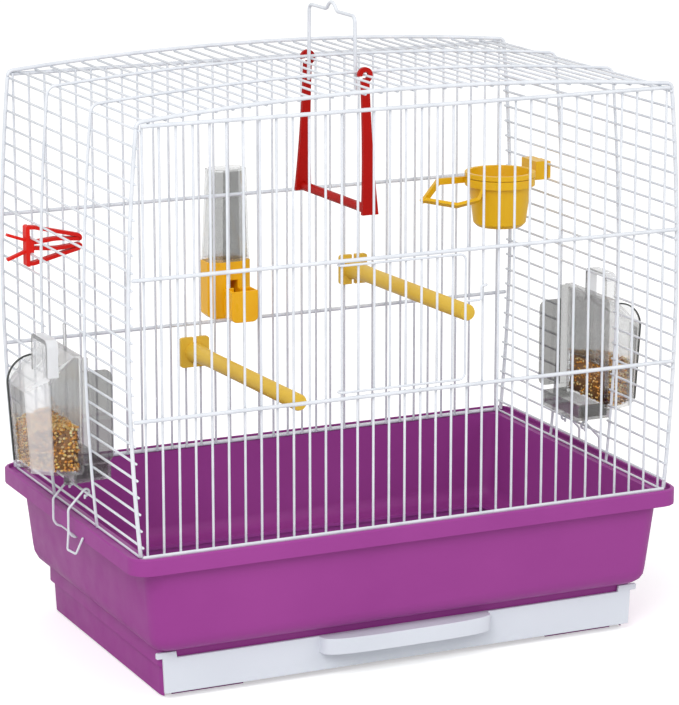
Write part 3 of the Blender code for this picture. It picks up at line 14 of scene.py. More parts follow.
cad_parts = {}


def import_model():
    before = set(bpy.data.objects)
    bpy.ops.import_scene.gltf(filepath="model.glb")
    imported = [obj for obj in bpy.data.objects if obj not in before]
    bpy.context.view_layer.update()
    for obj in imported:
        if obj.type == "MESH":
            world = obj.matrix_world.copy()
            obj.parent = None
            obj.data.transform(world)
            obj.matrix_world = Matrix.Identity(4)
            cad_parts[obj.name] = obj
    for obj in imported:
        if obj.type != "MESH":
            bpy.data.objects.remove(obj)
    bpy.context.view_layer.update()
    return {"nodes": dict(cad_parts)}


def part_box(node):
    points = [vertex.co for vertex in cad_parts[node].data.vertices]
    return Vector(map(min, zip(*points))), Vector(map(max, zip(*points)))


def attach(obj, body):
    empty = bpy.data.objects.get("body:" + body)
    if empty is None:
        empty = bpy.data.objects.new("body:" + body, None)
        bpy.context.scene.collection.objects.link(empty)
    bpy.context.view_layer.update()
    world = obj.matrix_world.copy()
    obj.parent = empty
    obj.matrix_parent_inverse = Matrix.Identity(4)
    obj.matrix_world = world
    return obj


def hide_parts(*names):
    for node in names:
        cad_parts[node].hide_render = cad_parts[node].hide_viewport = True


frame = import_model()

# The cage's own middle: the CAD is drawn about the tub's middle and moved along Y
TUB_LOW, TUB_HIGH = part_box("base_tub")
SHIFT_Y = (TUB_LOW.y + TUB_HIGH.y) / 2
TO_MIDDLE = Matrix.Translation((0, SHIFT_Y, 0))
NO_TURN = Matrix.Identity(4)
HALF_TURN = Matrix.Rotation(math.pi, 4, "Z")

# Wire stock
HEAVY_R = 0.0013
FINE_R = 0.0008
HANDLE_R = 0.0012
ARCH_R = 0.001           # the two middle arches
WELD_STEP = 0.00162      # between the axes of a frame wire and a fine wire welded to it
WELD_BITE = 0.0003       # how deep the outer frame wires sink into the fine ones
OUTER_STEP = HEAVY_R + FINE_R - WELD_BITE
HEAVY_SIDES = 14
FINE_SIDES = 10
CAP = ((0, 0.5), (0.2, 0.85), (0.55, 1.0))  # rounded end: place in radii, share of the radius
CAP_REACH = 1.5          # longest such radius, in steps of the path
BEND_SHARE = 0.48        # most of a stretch that the bend at its end takes up
BEND_STEPS = 6
STRAIGHT = 172           # angle, in degrees, from which on a corner isn't bent round

# Curls and hooks: start and end in degrees, and steps
DOOR_CURL = (20, 270, 24)
TONGUE_HOOK = (270, 372, 10)
LATCH_CURL = (290, 60, 20)
SWING_CURL = (-110, 190, 24)
SHIELD_CURL = (180, 90, 12)

# Wire top, levels from the axis of the lowest wires
WIRE_LEVEL = 0.0985
HALF_DEPTH = 0.1152
SIDE_FOOT = 0.1852
SIDE_EAVE = 0.184
SIDE_BULGE = 0.0066
EAVE_LEVEL = 0.2697
ROOF_CAMBER = 0.0089
EAVE_R = 0.004
MID_EAVE_R = 0.006
TOP_RAIL = 0.2674
LOW_RAIL = 0.0864
MID_RAIL = 0.1742
VERTICALS = 34
OUTER_VERTICAL_X = 0.18067
VERTICAL_PITCH = 2 * OUTER_VERTICAL_X / (VERTICALS - 1)
SIDE_WIRES = 25
SIDE_FIRST_LEVEL = 0.0064
SIDE_PITCH = 0.01077
ROOF_WIRES = 33
ROOF_PITCH = 0.011
MID_ARCH_Y = 0.0392
SIDE_WIRE_END = 0.0021
WINDOW_FIRST = 2
WINDOW_LAST = 10
WINDOW_WIRE_END = 0.0012
LEDGE_LEVEL = -0.0016
LEG_STEPS = 20
ROOF_STEPS = 36
CORNER_STEPS = 8

# Door
DOOR_FIRST = 12
DOOR_LAST = 20
DOOR_LOW = 0.0905
DOOR_TOP = 0.1714
DOOR_EDGE_X = 0.0358
DOOR_CORNER_R = 0.004
CURL_R = 0.0022
TONGUE_LOW = 0.141
TONGUE_HIGH = 0.15

# Latches
LATCH_WIRE = 1
LATCH_FRONT_Y = -0.02
LATCH_BACK_Y = 0.008
LEG_OUT = 0.0122
HOOK_OUT = 0.0055
HOOK_DROP = 0.029
LEG_DROP = 0.0243
SHOULDER_DROP = 0.0098
LATCH_TAIL = 0.0042
LOOP_DEPTH = 0.013       # finger loop under the front leg
LOOP_BACK = 0.0026
LOOP_FRONT = 0.009
LOOP_END = 0.018
LOOP_IN = 0.003

# Carry handle
HANDLE_X = -0.0027
HANDLE_HALF_TOP = 0.035
HANDLE_HALF_FOOT = 0.0362
HANDLE_TOP = 0.3135
HANDLE_BUMP = 0.0055
HANDLE_BUMP_HALF = 0.008
HANDLE_BUMP_SHARE = 0.75  # height of the bump halfway down its side
HANDLE_FOOT = 0.263
HANDLE_CORNER_R = 0.004

# Seed in the feeders
SEED_OUTLINE = ((0.0016, 0.0294), (0.007, 0.0294), (0.0202, 0.0249), (0.0319, 0.0147))
SEED_LEVEL = 0.063
SEED_HEAP = 0.003
SEED_FALL = 0.02         # slope of the heap to the sides
SEED_SIZE = 0.00105
SEED_PITCH = 0.00185
SEED_SHELL = 0.0026      # depth of loose seed over the heap's core
SEED_RANDOM = 7
SEED_JITTER = 0.35       # of the pitch
SEED_STRETCH = (1.15, 0.85, 0.8)
SEED_TILT = 3            # most that a grain leans, in radians
SEED_TONES = ((0.85, 0.42, 0.08), (0.95, 0.6, 0.2), (0.6, 0.24, 0.04),
              (0.95, 0.72, 0.38), (0.14, 0.05, 0.012), (0.8, 0.36, 0.05))
SEED_SHADE = (0.85, 1.35)
HEAP_START = 0.4         # rise at the slot, as a share of the heap's height
RIPPLE_SCALE = 140
RIPPLE = 0.0012
CORE_SHARE = 0.92        # of the outline
CORE_STEP = 0.0012       # how much further out the core stands
CORE_DROP = 1.5          # depth of the core under the surface, in grains
# Painted shade: the core is coloured darker than the grains, as the shade in the gaps between them
CORE_PAINTED_SHADE = (0.3, 0.13, 0.03, 1)

# Edges of the moulded pieces
TUB_EDGE = 0.0007
BROAD_EDGE = 0.0005
SOFT_EDGE = 0.0004
FINE_EDGE = 0.0003
RIM_EDGE = 0.0002
SHARP = 35               # angle, in degrees, from which on an edge is softened
FLAT = 0.6               # angle, in degrees, up to which faces are joined
DOUBLE = 1e-5            # distance at which corners are merged

# Noise in the materials: scales for colour, gloss and skin
COAT_GRAIN = (90, 420, 1500)
MOULD_GRAIN = (14, 60, 900)
CLEAR_GRAIN = (30, 70, 160)
HUSK_GRAIN = 700
GRAIN_DETAIL = 3.0
GRAIN_LOW = 0.3          # noise at which a change begins
GRAIN_HIGH = 0.7
COAT_SKIN = (0.00008, 0.3)  # depth and strength of the bumps
MOULD_SKIN = (0.00006, 0.2)
CLEAR_SKIN = (0.0001, 0.2)
MOULD_MATT = (0.85, 1.2)  # least and most roughness, as shares of a plastic's own
CLEAR_MATT = (0.6, 1.5)
CLEAR_DARK = 0.96


def lift(level):
    return WIRE_LEVEL + level


def side_x(level):
    share = level / EAVE_LEVEL
    return SIDE_FOOT + (SIDE_EAVE - SIDE_FOOT) * share + 4 * SIDE_BULGE * share * (1 - share)


def roof_level(x):
    return EAVE_LEVEL + ROOF_CAMBER * (1 - (x / SIDE_EAVE) ** 2)


def side_wire_level(index):
    return SIDE_FIRST_LEVEL + SIDE_PITCH * index


def side_wire_x(index):
    return side_x(side_wire_level(index)) - WELD_STEP


def vertical_x(index):
    return VERTICAL_PITCH * index - OUTER_VERTICAL_X


def arc(middle, radius, start, end, steps):
    """Points of an arc, in degrees, on a plane."""
    angles = [math.radians(start + (end - start) * step / steps) for step in range(steps + 1)]
    return [(middle[0] + radius * math.cos(angle), middle[1] + radius * math.sin(angle)) for angle in angles]


# Materials


def shader_of(name):
    made = bpy.data.materials.new(name)
    made.use_nodes = True
    return made, made.node_tree, made.node_tree.nodes["Principled BSDF"]


def put(node, values):
    """Set a node's sockets by name."""
    for name, value in values.items():
        node.inputs[name].default_value = value


def grain(tree, scale):
    """Noise in the object's own space."""
    where = tree.nodes.new("ShaderNodeTexCoord")
    texture = tree.nodes.new("ShaderNodeTexNoise")
    put(texture, {"Scale": scale, "Detail": GRAIN_DETAIL})
    tree.links.new(where.outputs["Object"], texture.inputs["Vector"])
    return texture.outputs["Fac"]


def spread(tree, source, low, high):
    """A value that runs from low to high with the source."""
    step = tree.nodes.new("ShaderNodeMapRange")
    put(step, {"From Min": GRAIN_LOW, "From Max": GRAIN_HIGH, "To Min": low, "To Max": high})
    tree.links.new(source, step.inputs["Value"])
    return step.outputs["Result"]


def tint(tree, source, dark, light):
    """A colour that runs from dark to light with the source."""
    ramp = tree.nodes.new("ShaderNodeValToRGB")
    ramp.color_ramp.elements[0].position = GRAIN_LOW
    ramp.color_ramp.elements[0].color = (*dark, 1)
    ramp.color_ramp.elements[1].position = GRAIN_HIGH
    ramp.color_ramp.elements[1].color = (*light, 1)
    tree.links.new(source, ramp.inputs["Fac"])
    return ramp.outputs["Color"]


def bump(tree, shader, source, depth, strength):
    step = tree.nodes.new("ShaderNodeBump")
    put(step, {"Strength": strength, "Distance": depth})
    tree.links.new(source, step.inputs["Height"])
    tree.links.new(step.outputs["Normal"], shader.inputs["Normal"])


def surface(name, scales, dark, light, matt, skin):
    """A shader whose colour, roughness and skin follow noises of three scales."""
    made, tree, shader = shader_of(name)
    tones, gloss, bumps = [grain(tree, scale) for scale in scales]
    tree.links.new(tint(tree, tones, dark, light), shader.inputs["Base Color"])
    tree.links.new(spread(tree, gloss, *matt), shader.inputs["Roughness"])
    bump(tree, shader, bumps, *skin)
    return made, shader


def coated_wire():
    """White powder coat: satin, with a faint orange-peel skin."""
    dark = (0.66, 0.69, 0.74)
    light = (0.76, 0.785, 0.83)
    made, shader = surface("wire_coat", COAT_GRAIN, dark, light, (0.26, 0.42), COAT_SKIN)
    put(shader, {"Coat Weight": 0.25, "Coat Roughness": 0.12})
    return made


def moulded_plastic(name, dark, light, roughness, scatter=0.0, gloss=0.35):
    """Moulded plastic with slight flow marks in its colour and gloss."""
    matt = [roughness * share for share in MOULD_MATT]
    made, shader = surface(name, MOULD_GRAIN, dark, light, matt, MOULD_SKIN)
    put(shader, {"Specular IOR Level": gloss, "Subsurface Weight": scatter})
    put(shader, {"Subsurface Radius": (0.004, 0.002, 0.003)})
    return made


def clear_plastic(name, colour, alpha, roughness, through=1.0):
    """Clear moulded plastic with faint flow lines."""
    dark = [c * CLEAR_DARK for c in colour]
    matt = [roughness * share for share in CLEAR_MATT]
    made, shader = surface(name, CLEAR_GRAIN, dark, colour, matt, CLEAR_SKIN)
    put(shader, {"Transmission Weight": through, "IOR": 1.45, "Alpha": alpha})
    return made


def seed_husk():
    """Seed in the tones that each grain carries, slightly mottled."""
    made, tree, shader = shader_of("seed_husk")
    tones = tree.nodes.new("ShaderNodeAttribute")
    tones.attribute_name = "husk"
    mottle = tint(tree, grain(tree, HUSK_GRAIN), (0.45, 0.4, 0.35), (1, 1, 1))
    mix = tree.nodes.new("ShaderNodeMix")
    mix.data_type = "RGBA"
    mix.blend_type = "MULTIPLY"
    put(mix, {"Factor": 0.6})
    tree.links.new(tones.outputs["Color"], mix.inputs["A"])
    tree.links.new(mottle, mix.inputs["B"])
    tree.links.new(mix.outputs["Result"], shader.inputs["Base Color"])
    put(shader, {"Roughness": 0.4})
    return made


WIRE = coated_wire()
PURPLE = moulded_plastic("purple_tub", (0.3, 0.043, 0.26), (0.325, 0.05, 0.28), 0.42, gloss=0.2)
GREY = moulded_plastic("grey_drawer", (0.66, 0.7, 0.76), (0.7, 0.74, 0.8), 0.34)
YELLOW = moulded_plastic("yellow_perch", (0.74, 0.46, 0.04), (0.82, 0.54, 0.055), 0.4)
AMBER = moulded_plastic("amber_cup", (0.78, 0.44, 0.003), (0.86, 0.51, 0.006), 0.34, scatter=0.15)
ORANGE = moulded_plastic("orange_drinker", (0.93, 0.45, 0.002), (0.98, 0.52, 0.004), 0.3, scatter=0.1)
RED = moulded_plastic("red_swing", (0.38, 0.004, 0.002), (0.46, 0.006, 0.003), 0.42, gloss=0.12)
BRIGHT_RED = moulded_plastic("red_clip", (0.62, 0.01, 0.007), (0.74, 0.016, 0.009), 0.42, gloss=0.15)
CLEAR = clear_plastic("clear_plastic", (0.76, 0.78, 0.78), alpha=0.28, roughness=0.03)
# Painted shade: a dark, half-clear plastic put on faces of the clear pieces that look grey from their angle
# to the light
PAINTED_SHADE_PLASTIC = clear_plastic("painted_shade_plastic", (0.1, 0.1, 0.094), alpha=0.58, roughness=0.03)
# Painted reflection: a pale, half-clear plastic on the feeders' outer facets and roof, standing in for the
# white reflected in them
PAINTED_REFLECTION_PLASTIC = clear_plastic("painted_reflection_plastic", (0.93, 0.93, 0.95), alpha=0.35, roughness=0.15, through=0.2)
# Painted highlight: a nearly opaque white plastic on the feeders' grips and tops
PAINTED_HIGHLIGHT_PLASTIC = clear_plastic("painted_highlight_plastic", (0.9, 0.91, 0.93), alpha=0.8, roughness=0.15, through=0.2)
# Painted shade: a dark, half-clear plastic on the softened edges of the clear pieces, where their edges look
# dark
PAINTED_EDGE_SHADE = clear_plastic("painted_edge_shade_plastic", (0.05, 0.055, 0.06), alpha=0.4, roughness=0.05)
# Painted shade: a dark plastic for the strip along each feeder shield's curved edge, where the clear
# plastic's edge looks dark
PAINTED_EDGE_LINE = moulded_plastic("painted_edge_line", (0.03, 0.034, 0.034), (0.05, 0.055, 0.052), 0.2)
HUSK = seed_husk()


# Making pieces


def placed(name, data):
    """A new object in the scene."""
    piece = bpy.data.objects.new(name, data)
    bpy.context.scene.collection.objects.link(piece)
    return piece


def make(name, vertices, faces, material, body, nodes):
    """A smooth-shaded piece of the scene that rides on a body and stands for CAD nodes."""
    mesh = bpy.data.meshes.new(name)
    mesh.from_pydata([tuple(v) for v in vertices], [], faces)
    mesh.materials.append(material)
    mesh.shade_smooth()
    piece = placed(name, mesh)
    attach(piece, body)
    if nodes:
        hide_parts(*nodes)
    return piece


def join(vertices, faces, corners, corner_faces):
    """Add a shape to the corners and faces of a mesh."""
    faces.extend([len(vertices) + index for index in face] for face in corner_faces)
    vertices.extend(corners)


class Wires:
    """Round wires collected into one mesh."""

    def __init__(self):
        self.vertices = []
        self.faces = []

    def add(self, path, radius, sides, move=TO_MIDDLE):
        points = [Vector(point) for point in path]
        head = points[1] - points[0]
        head *= min(radius / head.length, CAP_REACH)
        tail = points[-1] - points[-2]
        tail *= min(radius / tail.length, CAP_REACH)
        spots = [(points[0] + head * place, share) for place, share in CAP]
        spots += [(point, 1.0) for point in points[1:-1]]
        spots += [(points[-1] - tail * place, share) for place, share in reversed(CAP)]
        across = (spots[1][0] - spots[0][0]).normalized().orthogonal().normalized()
        sections = [ngon(radius * share, sides) for point, share in spots]
        rings = mitred([point for point, share in spots], sections, across)
        corners, faces = drained(loft(rings))
        join(self.vertices, self.faces, [move @ corner for corner in corners], faces)

    def heavy(self, path):
        self.add(path, HEAVY_R, HEAVY_SIDES)

    def fine(self, path):
        self.add(path, FINE_R, FINE_SIDES)

    def done(self, name, body, node):
        make(name, self.vertices, self.faces, WIRE, body, (node,))


def rounded_path(path, radius):
    """A path with its corners bent round."""
    points = [Vector(point) for point in path]
    out = [points[0]]
    for before, corner, after in zip(points, points[1:], points[2:]):
        back = before - corner
        ahead = after - corner
        if back.angle(ahead) > math.radians(STRAIGHT):
            out.append(corner)
            continue
        reach = min(radius, back.length * BEND_SHARE, ahead.length * BEND_SHARE)
        start = corner + back.normalized() * reach
        end = corner + ahead.normalized() * reach
        for step in range(BEND_STEPS + 1):
            share = step / BEND_STEPS
            out.append(start * (1 - share) ** 2 + corner * 2 * share * (1 - share) + end * share ** 2)
    out.append(points[-1])
    return out


# Wire top


def leg_path(x_sign, y, foot, top, outward=0.0):
    levels = [foot + (top - foot) * step / LEG_STEPS for step in range(LEG_STEPS + 1)]
    return [(x_sign * (side_x(level) + outward), y, lift(level)) for level in levels]


def roof_path(y, corner_r, outward=0.0):
    half = side_x(EAVE_LEVEL - corner_r) + outward
    inner = half - corner_r
    shoulder = roof_level(inner) + outward
    left = []
    for step in range(CORNER_STEPS + 1):
        angle = math.pi / 2 * step / CORNER_STEPS
        left.append((inner + corner_r * math.cos(angle), shoulder - corner_r * (1 - math.sin(angle))))
    span = [inner - 2 * inner * step / ROOF_STEPS for step in range(1, ROOF_STEPS)]
    middle = [(x, roof_level(x) + outward) for x in span]
    right = [(-x, level) for x, level in reversed(left)]
    return [(-x, y, lift(level)) for x, level in left + middle + right]


def front_or_back(name, y_sign, node):
    wires = Wires()
    foot = lift(-WELD_STEP / 2)
    head = lift(TOP_RAIL + WELD_STEP / 2)
    y = y_sign * HALF_DEPTH
    for index in range(VERTICALS):
        spans = [(foot, head)]
        if y_sign < 0 and DOOR_FIRST < index <= DOOR_LAST:
            spans = [(foot, lift(LOW_RAIL + HEAVY_R)), (lift(MID_RAIL - HEAVY_R), head)]
        for low, high in spans:
            wires.fine([(vertical_x(index), y, low), (vertical_x(index), y, high)])
    outer = y_sign * (HALF_DEPTH + WELD_STEP)
    for level, half in ((0, SIDE_FOOT - HEAVY_R / 2), (TOP_RAIL, OUTER_VERTICAL_X + HEAVY_R)):
        wires.heavy([(-half, outer, lift(level)), (half, outer, lift(level))])
    wires.done(name, "cage", node)


def side(node, x_sign):
    wires = Wires()
    end = HALF_DEPTH + SIDE_WIRE_END
    window = MID_ARCH_Y - WINDOW_WIRE_END
    for index in range(SIDE_WIRES):
        spans = [(-end, end)]
        if WINDOW_FIRST <= index <= WINDOW_LAST:
            spans = [(-end, -window), (window, end)]
        x = x_sign * side_wire_x(index)
        z = lift(side_wire_level(index))
        for near, far in spans:
            wires.fine([(x, near, z), (x, far, z)])
    sill = lift(LEDGE_LEVEL + FINE_R)
    wires.fine([(x_sign * side_wire_x(0), -end, sill), (x_sign * side_wire_x(0), end, sill)])
    top = roof_path(0, EAVE_R)[0][2] - WIRE_LEVEL
    for y in (-HALF_DEPTH, HALF_DEPTH):
        wires.heavy(leg_path(x_sign, y, 0, top))
    wires.done(node + "_wires", "cage", node)


def roof():
    wires = Wires()
    half_count = ROOF_WIRES // 2
    for index in range(-half_count, half_count + 1):
        x = ROOF_PITCH * index
        z = lift(roof_level(x) - WELD_STEP)
        wires.fine([(x, -HALF_DEPTH, z), (x, HALF_DEPTH, z)])
    for y in (-HALF_DEPTH, HALF_DEPTH):
        wires.heavy(roof_path(y, EAVE_R))
    wires.done("roof_wires", "cage", "roof_panel")


def rail(node, y_sign, level):
    half = side_x(level) - HEAVY_R
    y = y_sign * (HALF_DEPTH + OUTER_STEP)
    wires = Wires()
    wires.heavy([(-half, y, lift(level)), (half, y, lift(level))])
    wires.done(node + "_wire", "cage", node)


def middle_arch(name, y, node):
    outward = ARCH_R + FINE_R - WELD_BITE - WELD_STEP
    top_path = roof_path(y, MID_EAVE_R, outward)
    top = top_path[0][2] - WIRE_LEVEL
    foot = LEDGE_LEVEL + WELD_BITE
    left = leg_path(-1, y, foot, top, outward)[:-1]
    right = leg_path(1, y, foot, top, outward)[:-1]
    wires = Wires()
    wires.add(left + top_path + right[::-1], ARCH_R, HEAVY_SIDES)
    wires.done(name, "cage", node)


def door():
    """The door's loop, curled round its hinge wire, its bars, and the tongue that hooks on a front wire."""
    pivot = (vertical_x(DOOR_FIRST), -HALF_DEPTH)
    y = -HALF_DEPTH - CURL_R
    low = lift(DOOR_LOW)
    high = lift(DOOR_TOP)
    curl = arc(pivot, CURL_R, *DOOR_CURL)
    path = [(a, b, high) for a, b in curl]
    for middle, start in ((high - DOOR_CORNER_R, 90), (low + DOOR_CORNER_R, 0)):
        spot = (DOOR_EDGE_X - DOOR_CORNER_R, middle)
        path += [(a, y, b) for a, b in arc(spot, DOOR_CORNER_R, start, start - 90, CORNER_STEPS)]
    path += [(a, b, low) for a, b in reversed(curl)]
    wires = Wires()
    wires.fine(path)
    bar_y = y + 2 * FINE_R - WELD_BITE
    for index in range(DOOR_FIRST + 1, DOOR_LAST):
        x = vertical_x(index)
        wires.fine([(x, bar_y, low - WELD_BITE), (x, bar_y, high + WELD_BITE)])
    catch = (vertical_x(DOOR_LAST + 1), -HALF_DEPTH)
    tongue_low = lift(TONGUE_LOW)
    tongue_high = lift(TONGUE_HIGH)
    bend = catch[0] - CURL_R
    corners = ((DOOR_EDGE_X - FINE_R, tongue_low), (bend, tongue_low),
               (bend, tongue_high), (catch[0], tongue_high))
    route = rounded_path([(a, y, b) for a, b in corners], CURL_R)
    route += [(a, b, tongue_high) for a, b in arc(catch, CURL_R, *TONGUE_HOOK)][1:]
    wires.fine(route)
    wires.done("door_wires", "front_door", "front_door")


def latch(body, turn):
    """A wire curled round a side wire, whose bend hooks in under the rim, and its finger loop."""
    pivot_x = -side_wire_x(LATCH_WIRE)
    pivot_z = lift(side_wire_level(LATCH_WIRE))

    def spot(out, y, drop):
        return (pivot_x - out, y, pivot_z - drop)

    curl = [(out, -rise) for out, rise in arc((0, 0), CURL_R, *LATCH_CURL)]
    tail = (CURL_R * math.cos(math.radians(LATCH_CURL[0])), LATCH_TAIL)
    knee = (LEG_OUT + HOOK_OUT + CURL_R) / 2
    half = [tail] + curl
    half += [(LEG_OUT, SHOULDER_DROP), (LEG_OUT, LEG_DROP),
             (knee, HOOK_DROP - CURL_R / 2), (HOOK_OUT + CURL_R / 2, HOOK_DROP)]
    path = [spot(out, LATCH_BACK_Y, drop) for out, drop in half]
    path += [spot(out, LATCH_FRONT_Y, drop) for out, drop in reversed(half)]
    low = LEG_DROP + LOOP_DEPTH
    loop = [spot(LEG_OUT, LATCH_FRONT_Y, LEG_DROP - WELD_BITE),
            spot(LEG_OUT, LATCH_FRONT_Y + LOOP_BACK, low),
            spot(LEG_OUT - LOOP_IN / 2, LATCH_FRONT_Y - LOOP_FRONT, low),
            spot(LEG_OUT - LOOP_IN, LATCH_FRONT_Y - LOOP_END, LEG_DROP)]
    wires = Wires()
    for route in (path, loop):
        wires.add(rounded_path(route, 2 * FINE_R), FINE_R, FINE_SIDES, TO_MIDDLE @ turn)
    wires.done(body + "_wire", body, body)


def handle():
    top = lift(HANDLE_TOP)
    corner = HANDLE_CORNER_R
    half = [(0, top + HANDLE_BUMP), (HANDLE_BUMP_HALF / 2, top + HANDLE_BUMP * HANDLE_BUMP_SHARE),
            (HANDLE_BUMP_HALF, top), (HANDLE_HALF_TOP - corner, top)]
    half += arc((HANDLE_HALF_TOP - corner, top - corner), corner, 90, 0, CORNER_STEPS)[1:]
    half.append((HANDLE_HALF_FOOT, lift(HANDLE_FOOT)))
    line = [(-y, z) for y, z in reversed(half)] + half[1:]
    path = rounded_path([(HANDLE_X, y, z) for y, z in line], 2 * HANDLE_R)
    wires = Wires()
    wires.add(path, HANDLE_R, HEAVY_SIDES)
    wires.done("handle_wire", "carry_handle", "carry_handle")


# Solids for the moulded pieces

JOIN = "UNION"
CUT = "DIFFERENCE"
ROUND_SIDES = 24
ROD_SIDES = 28
PLATE_STEPS = 5          # in a quarter turn of a small corner
CUP_STEPS = 6            # in a quarter turn of the cheek or the trough


def oblong(half_up, half_aside):
    return [(half_up, half_aside), (-half_up, half_aside), (-half_up, -half_aside), (half_up, -half_aside)]


def ngon(radius, sides):
    angles = [math.tau * k / sides for k in range(sides)]
    return [(radius * math.cos(angle), radius * math.sin(angle)) for angle in angles]


def bridge(bm, rings):
    """Skin rings of the same number of points, with a flat face at each end."""
    for low, high in zip(rings, rings[1:]):
        for index in range(len(low)):
            after = (index + 1) % len(low)
            bm.faces.new((low[index], low[after], high[after], high[index]))
    bm.faces.new(list(reversed(rings[0])))
    bm.faces.new(rings[-1])


def mitred(points, sections, across):
    """Rings of points along a path: a section for each point, mitred at the corners."""
    runs = [(end - start).normalized() for start, end in zip(points, points[1:])]
    rings = []
    for index, (point, section) in enumerate(zip(points, sections)):
        before = runs[max(index - 1, 0)]
        after = runs[min(index, len(runs) - 1)]
        aside = before.cross(across)
        mitre = (before + after).normalized()
        ring = []
        for along, over in section:
            arm = across * along + aside * over
            arm -= before * (arm.dot(mitre) / before.dot(mitre))
            ring.append(point + arm)
        rings.append(ring)
        across = before.rotation_difference(after) @ across
    return rings


def sweep(path, section, up):
    """A section run along a path with mitred corners. Its first axis starts along up."""
    points = [Vector(point) for point in path]
    run = (points[1] - points[0]).normalized()
    across = Vector(up) - Vector(up).project(run)
    return loft(mitred(points, [section] * len(points), across.normalized()))


def loft(rings):
    bm = bmesh.new()
    bridge(bm, [[bm.verts.new(point) for point in ring] for ring in rings])
    return bm


def box(low, high):
    corners = ((low[0], low[1]), (high[0], low[1]), (high[0], high[1]), (low[0], high[1]))
    return loft([[(x, y, z) for x, y in corners] for z in (low[2], high[2])])


def plate(outline, near, far):
    """An upright outline in X and Z, pushed along Y."""
    return loft([[(x, y, z) for x, z in outline] for y in (near, far)])


def disc(radius, low, high):
    return loft([[(a, b, z) for a, b in ngon(radius, ROUND_SIDES)] for z in (low, high)])


def hull(points):
    bm = bmesh.new()
    for point in points:
        bm.verts.new(point)
    made = bmesh.ops.convex_hull(bm, input=bm.verts)
    spare = made["geom_interior"] + made["geom_unused"]
    loose = [part for part in spare if isinstance(part, bmesh.types.BMVert)]
    bmesh.ops.delete(bm, geom=loose, context="VERTS")
    return bm


def soften(piece, edge, segments=2):
    """Round off the edges of a piece."""
    soft = piece.modifiers.new("soft_edge", "BEVEL")
    soft.width = edge
    soft.segments = segments
    soft.limit_method = "ANGLE"
    soft.angle_limit = math.radians(SHARP)
    soft.harden_normals = True
    return piece


def drained(bm):
    """Corners and faces of a bmesh, which is then freed."""
    bm.verts.index_update()
    vertices = [vertex.co.copy() for vertex in bm.verts]
    faces = [[vertex.index for vertex in face.verts] for face in bm.faces]
    bm.free()
    return vertices, faces


def tidied(mesh):
    """Corners and faces of a mesh, with doubled corners merged and flat faces joined."""
    bm = bmesh.new()
    bm.from_mesh(mesh)
    bmesh.ops.remove_doubles(bm, verts=bm.verts, dist=DOUBLE)
    bmesh.ops.dissolve_limit(bm, angle_limit=math.radians(FLAT), verts=bm.verts, edges=bm.edges)
    return drained(bm)


def formed(name, body, material, nodes, first, steps, edge=SOFT_EDGE, move=TO_MIDDLE):
    """A moulded piece: a first solid with others added or cut away, then its edges softened."""
    things = []
    for bm in [first] + [shape for operation, shape in steps]:
        bmesh.ops.transform(bm, matrix=move, verts=bm.verts)
        bmesh.ops.recalc_face_normals(bm, faces=bm.faces)
        mesh = bpy.data.meshes.new("scratch")
        bm.to_mesh(mesh)
        bm.free()
        things.append(placed("scratch", mesh))
    for (operation, shape), tool in zip(steps, things[1:]):
        step = things[0].modifiers.new("step", "BOOLEAN")
        step.operation = operation
        step.solver = "EXACT"
        step.object = tool
    graph = bpy.context.evaluated_depsgraph_get()
    graph.update()
    result = bpy.data.meshes.new_from_object(things[0].evaluated_get(graph))
    vertices, faces = tidied(result)
    for thing in things:
        bpy.data.objects.remove(thing, do_unlink=True)
    return soften(make(name, vertices, faces, material, body, nodes), edge)


def moulded(node, body, material, edge=SOFT_EDGE, segments=2):
    """The CAD form with its edges rounded off."""
    vertices, faces = tidied(frame["nodes"][node].data)
    soften(make(node + "_form", vertices, faces, material, body, (node,)), edge, segments)


def paint(piece, others, pick):
    """Give a clear piece more materials: painted edge shade on its softened edges, and on each face what
    pick says.
    """
    shades = [CLEAR, *others]
    for material in others:
        piece.data.materials.append(material)
    piece.modifiers["soft_edge"].material = shades.index(PAINTED_EDGE_SHADE)
    for face in piece.data.polygons:
        face.material_index = shades.index(pick(face))


# Feeders, from the swivel axis: out is away from the cage

FEEDER_X = 0.19
FEEDER_WALL = 0.0016
HOPPER_FLOOR = 0.0325
HOPPER_LEAN = 0.9        # how far out the outer corners stand at the foot, as a share of the top
HOPPER_RIM = ((0, 0.031, 0.097), (0.007, 0.031, 0.097), (0.021, 0.0265, 0.094), (0.0335, 0.0155, 0.086))
RIM_INSET = ((-1, 1), (0, 1), (1, 5 / 6), (1, 1 / 2))  # of the room: inward and aside, in walls
ROOM_DROP = 1.3          # of the room's top, in walls
RIDGE_LEVEL = 0.1095
RIDGE_OUT = 0.005
RIDGE_Y = 0.0305
SLOT_TOP = 0.0615
SLOT_HALF_Y = 0.024
TRAY_BACK = 0.0048
TRAY_REACH = 0.02
TRAY_HALF_Y = 0.026
TRAY_LOW = 0.026
TRAY_TOP = 0.0365
CHEEK_REACH = 0.02
CHEEK_LOW = 0.0385
CHEEK_TOP = 0.099
CHEEK_R = 0.005
POST_LOW = 0.0277
POST_TOP = 0.1085
POST_DEPTH = 0.0026
POST_IN = 0.003
POST_OUT = 0.007
BOSS_R = 0.0025
BOSS_TOP_R = 0.0012
GRIP_OUT = 0.0185
GRIP_HALF_WIDTH = 0.0037
GRIP_HALF_DEPTH = 0.0014
GRIP_TOP = 0.119
GRIP_BACK_Y = 0
GRIP_FRONT_Y = -0.027
GRIP_FOOT = 0.0965
GRIP_BEND = 0.004
SHIELD_R = 0.017
SHIELD_TOP = 0.1025
SHIELD_EDGE = 0.0005
OVERRUN = 0.004
BITE = 0.0005
NEAR = 1.2               # how far a part's own faces can lie, in sizes of the part
FLAT_ON = 0.9            # least of a normal along an axis for a face across it
SLANTING = 0.55          # least for a slanting face
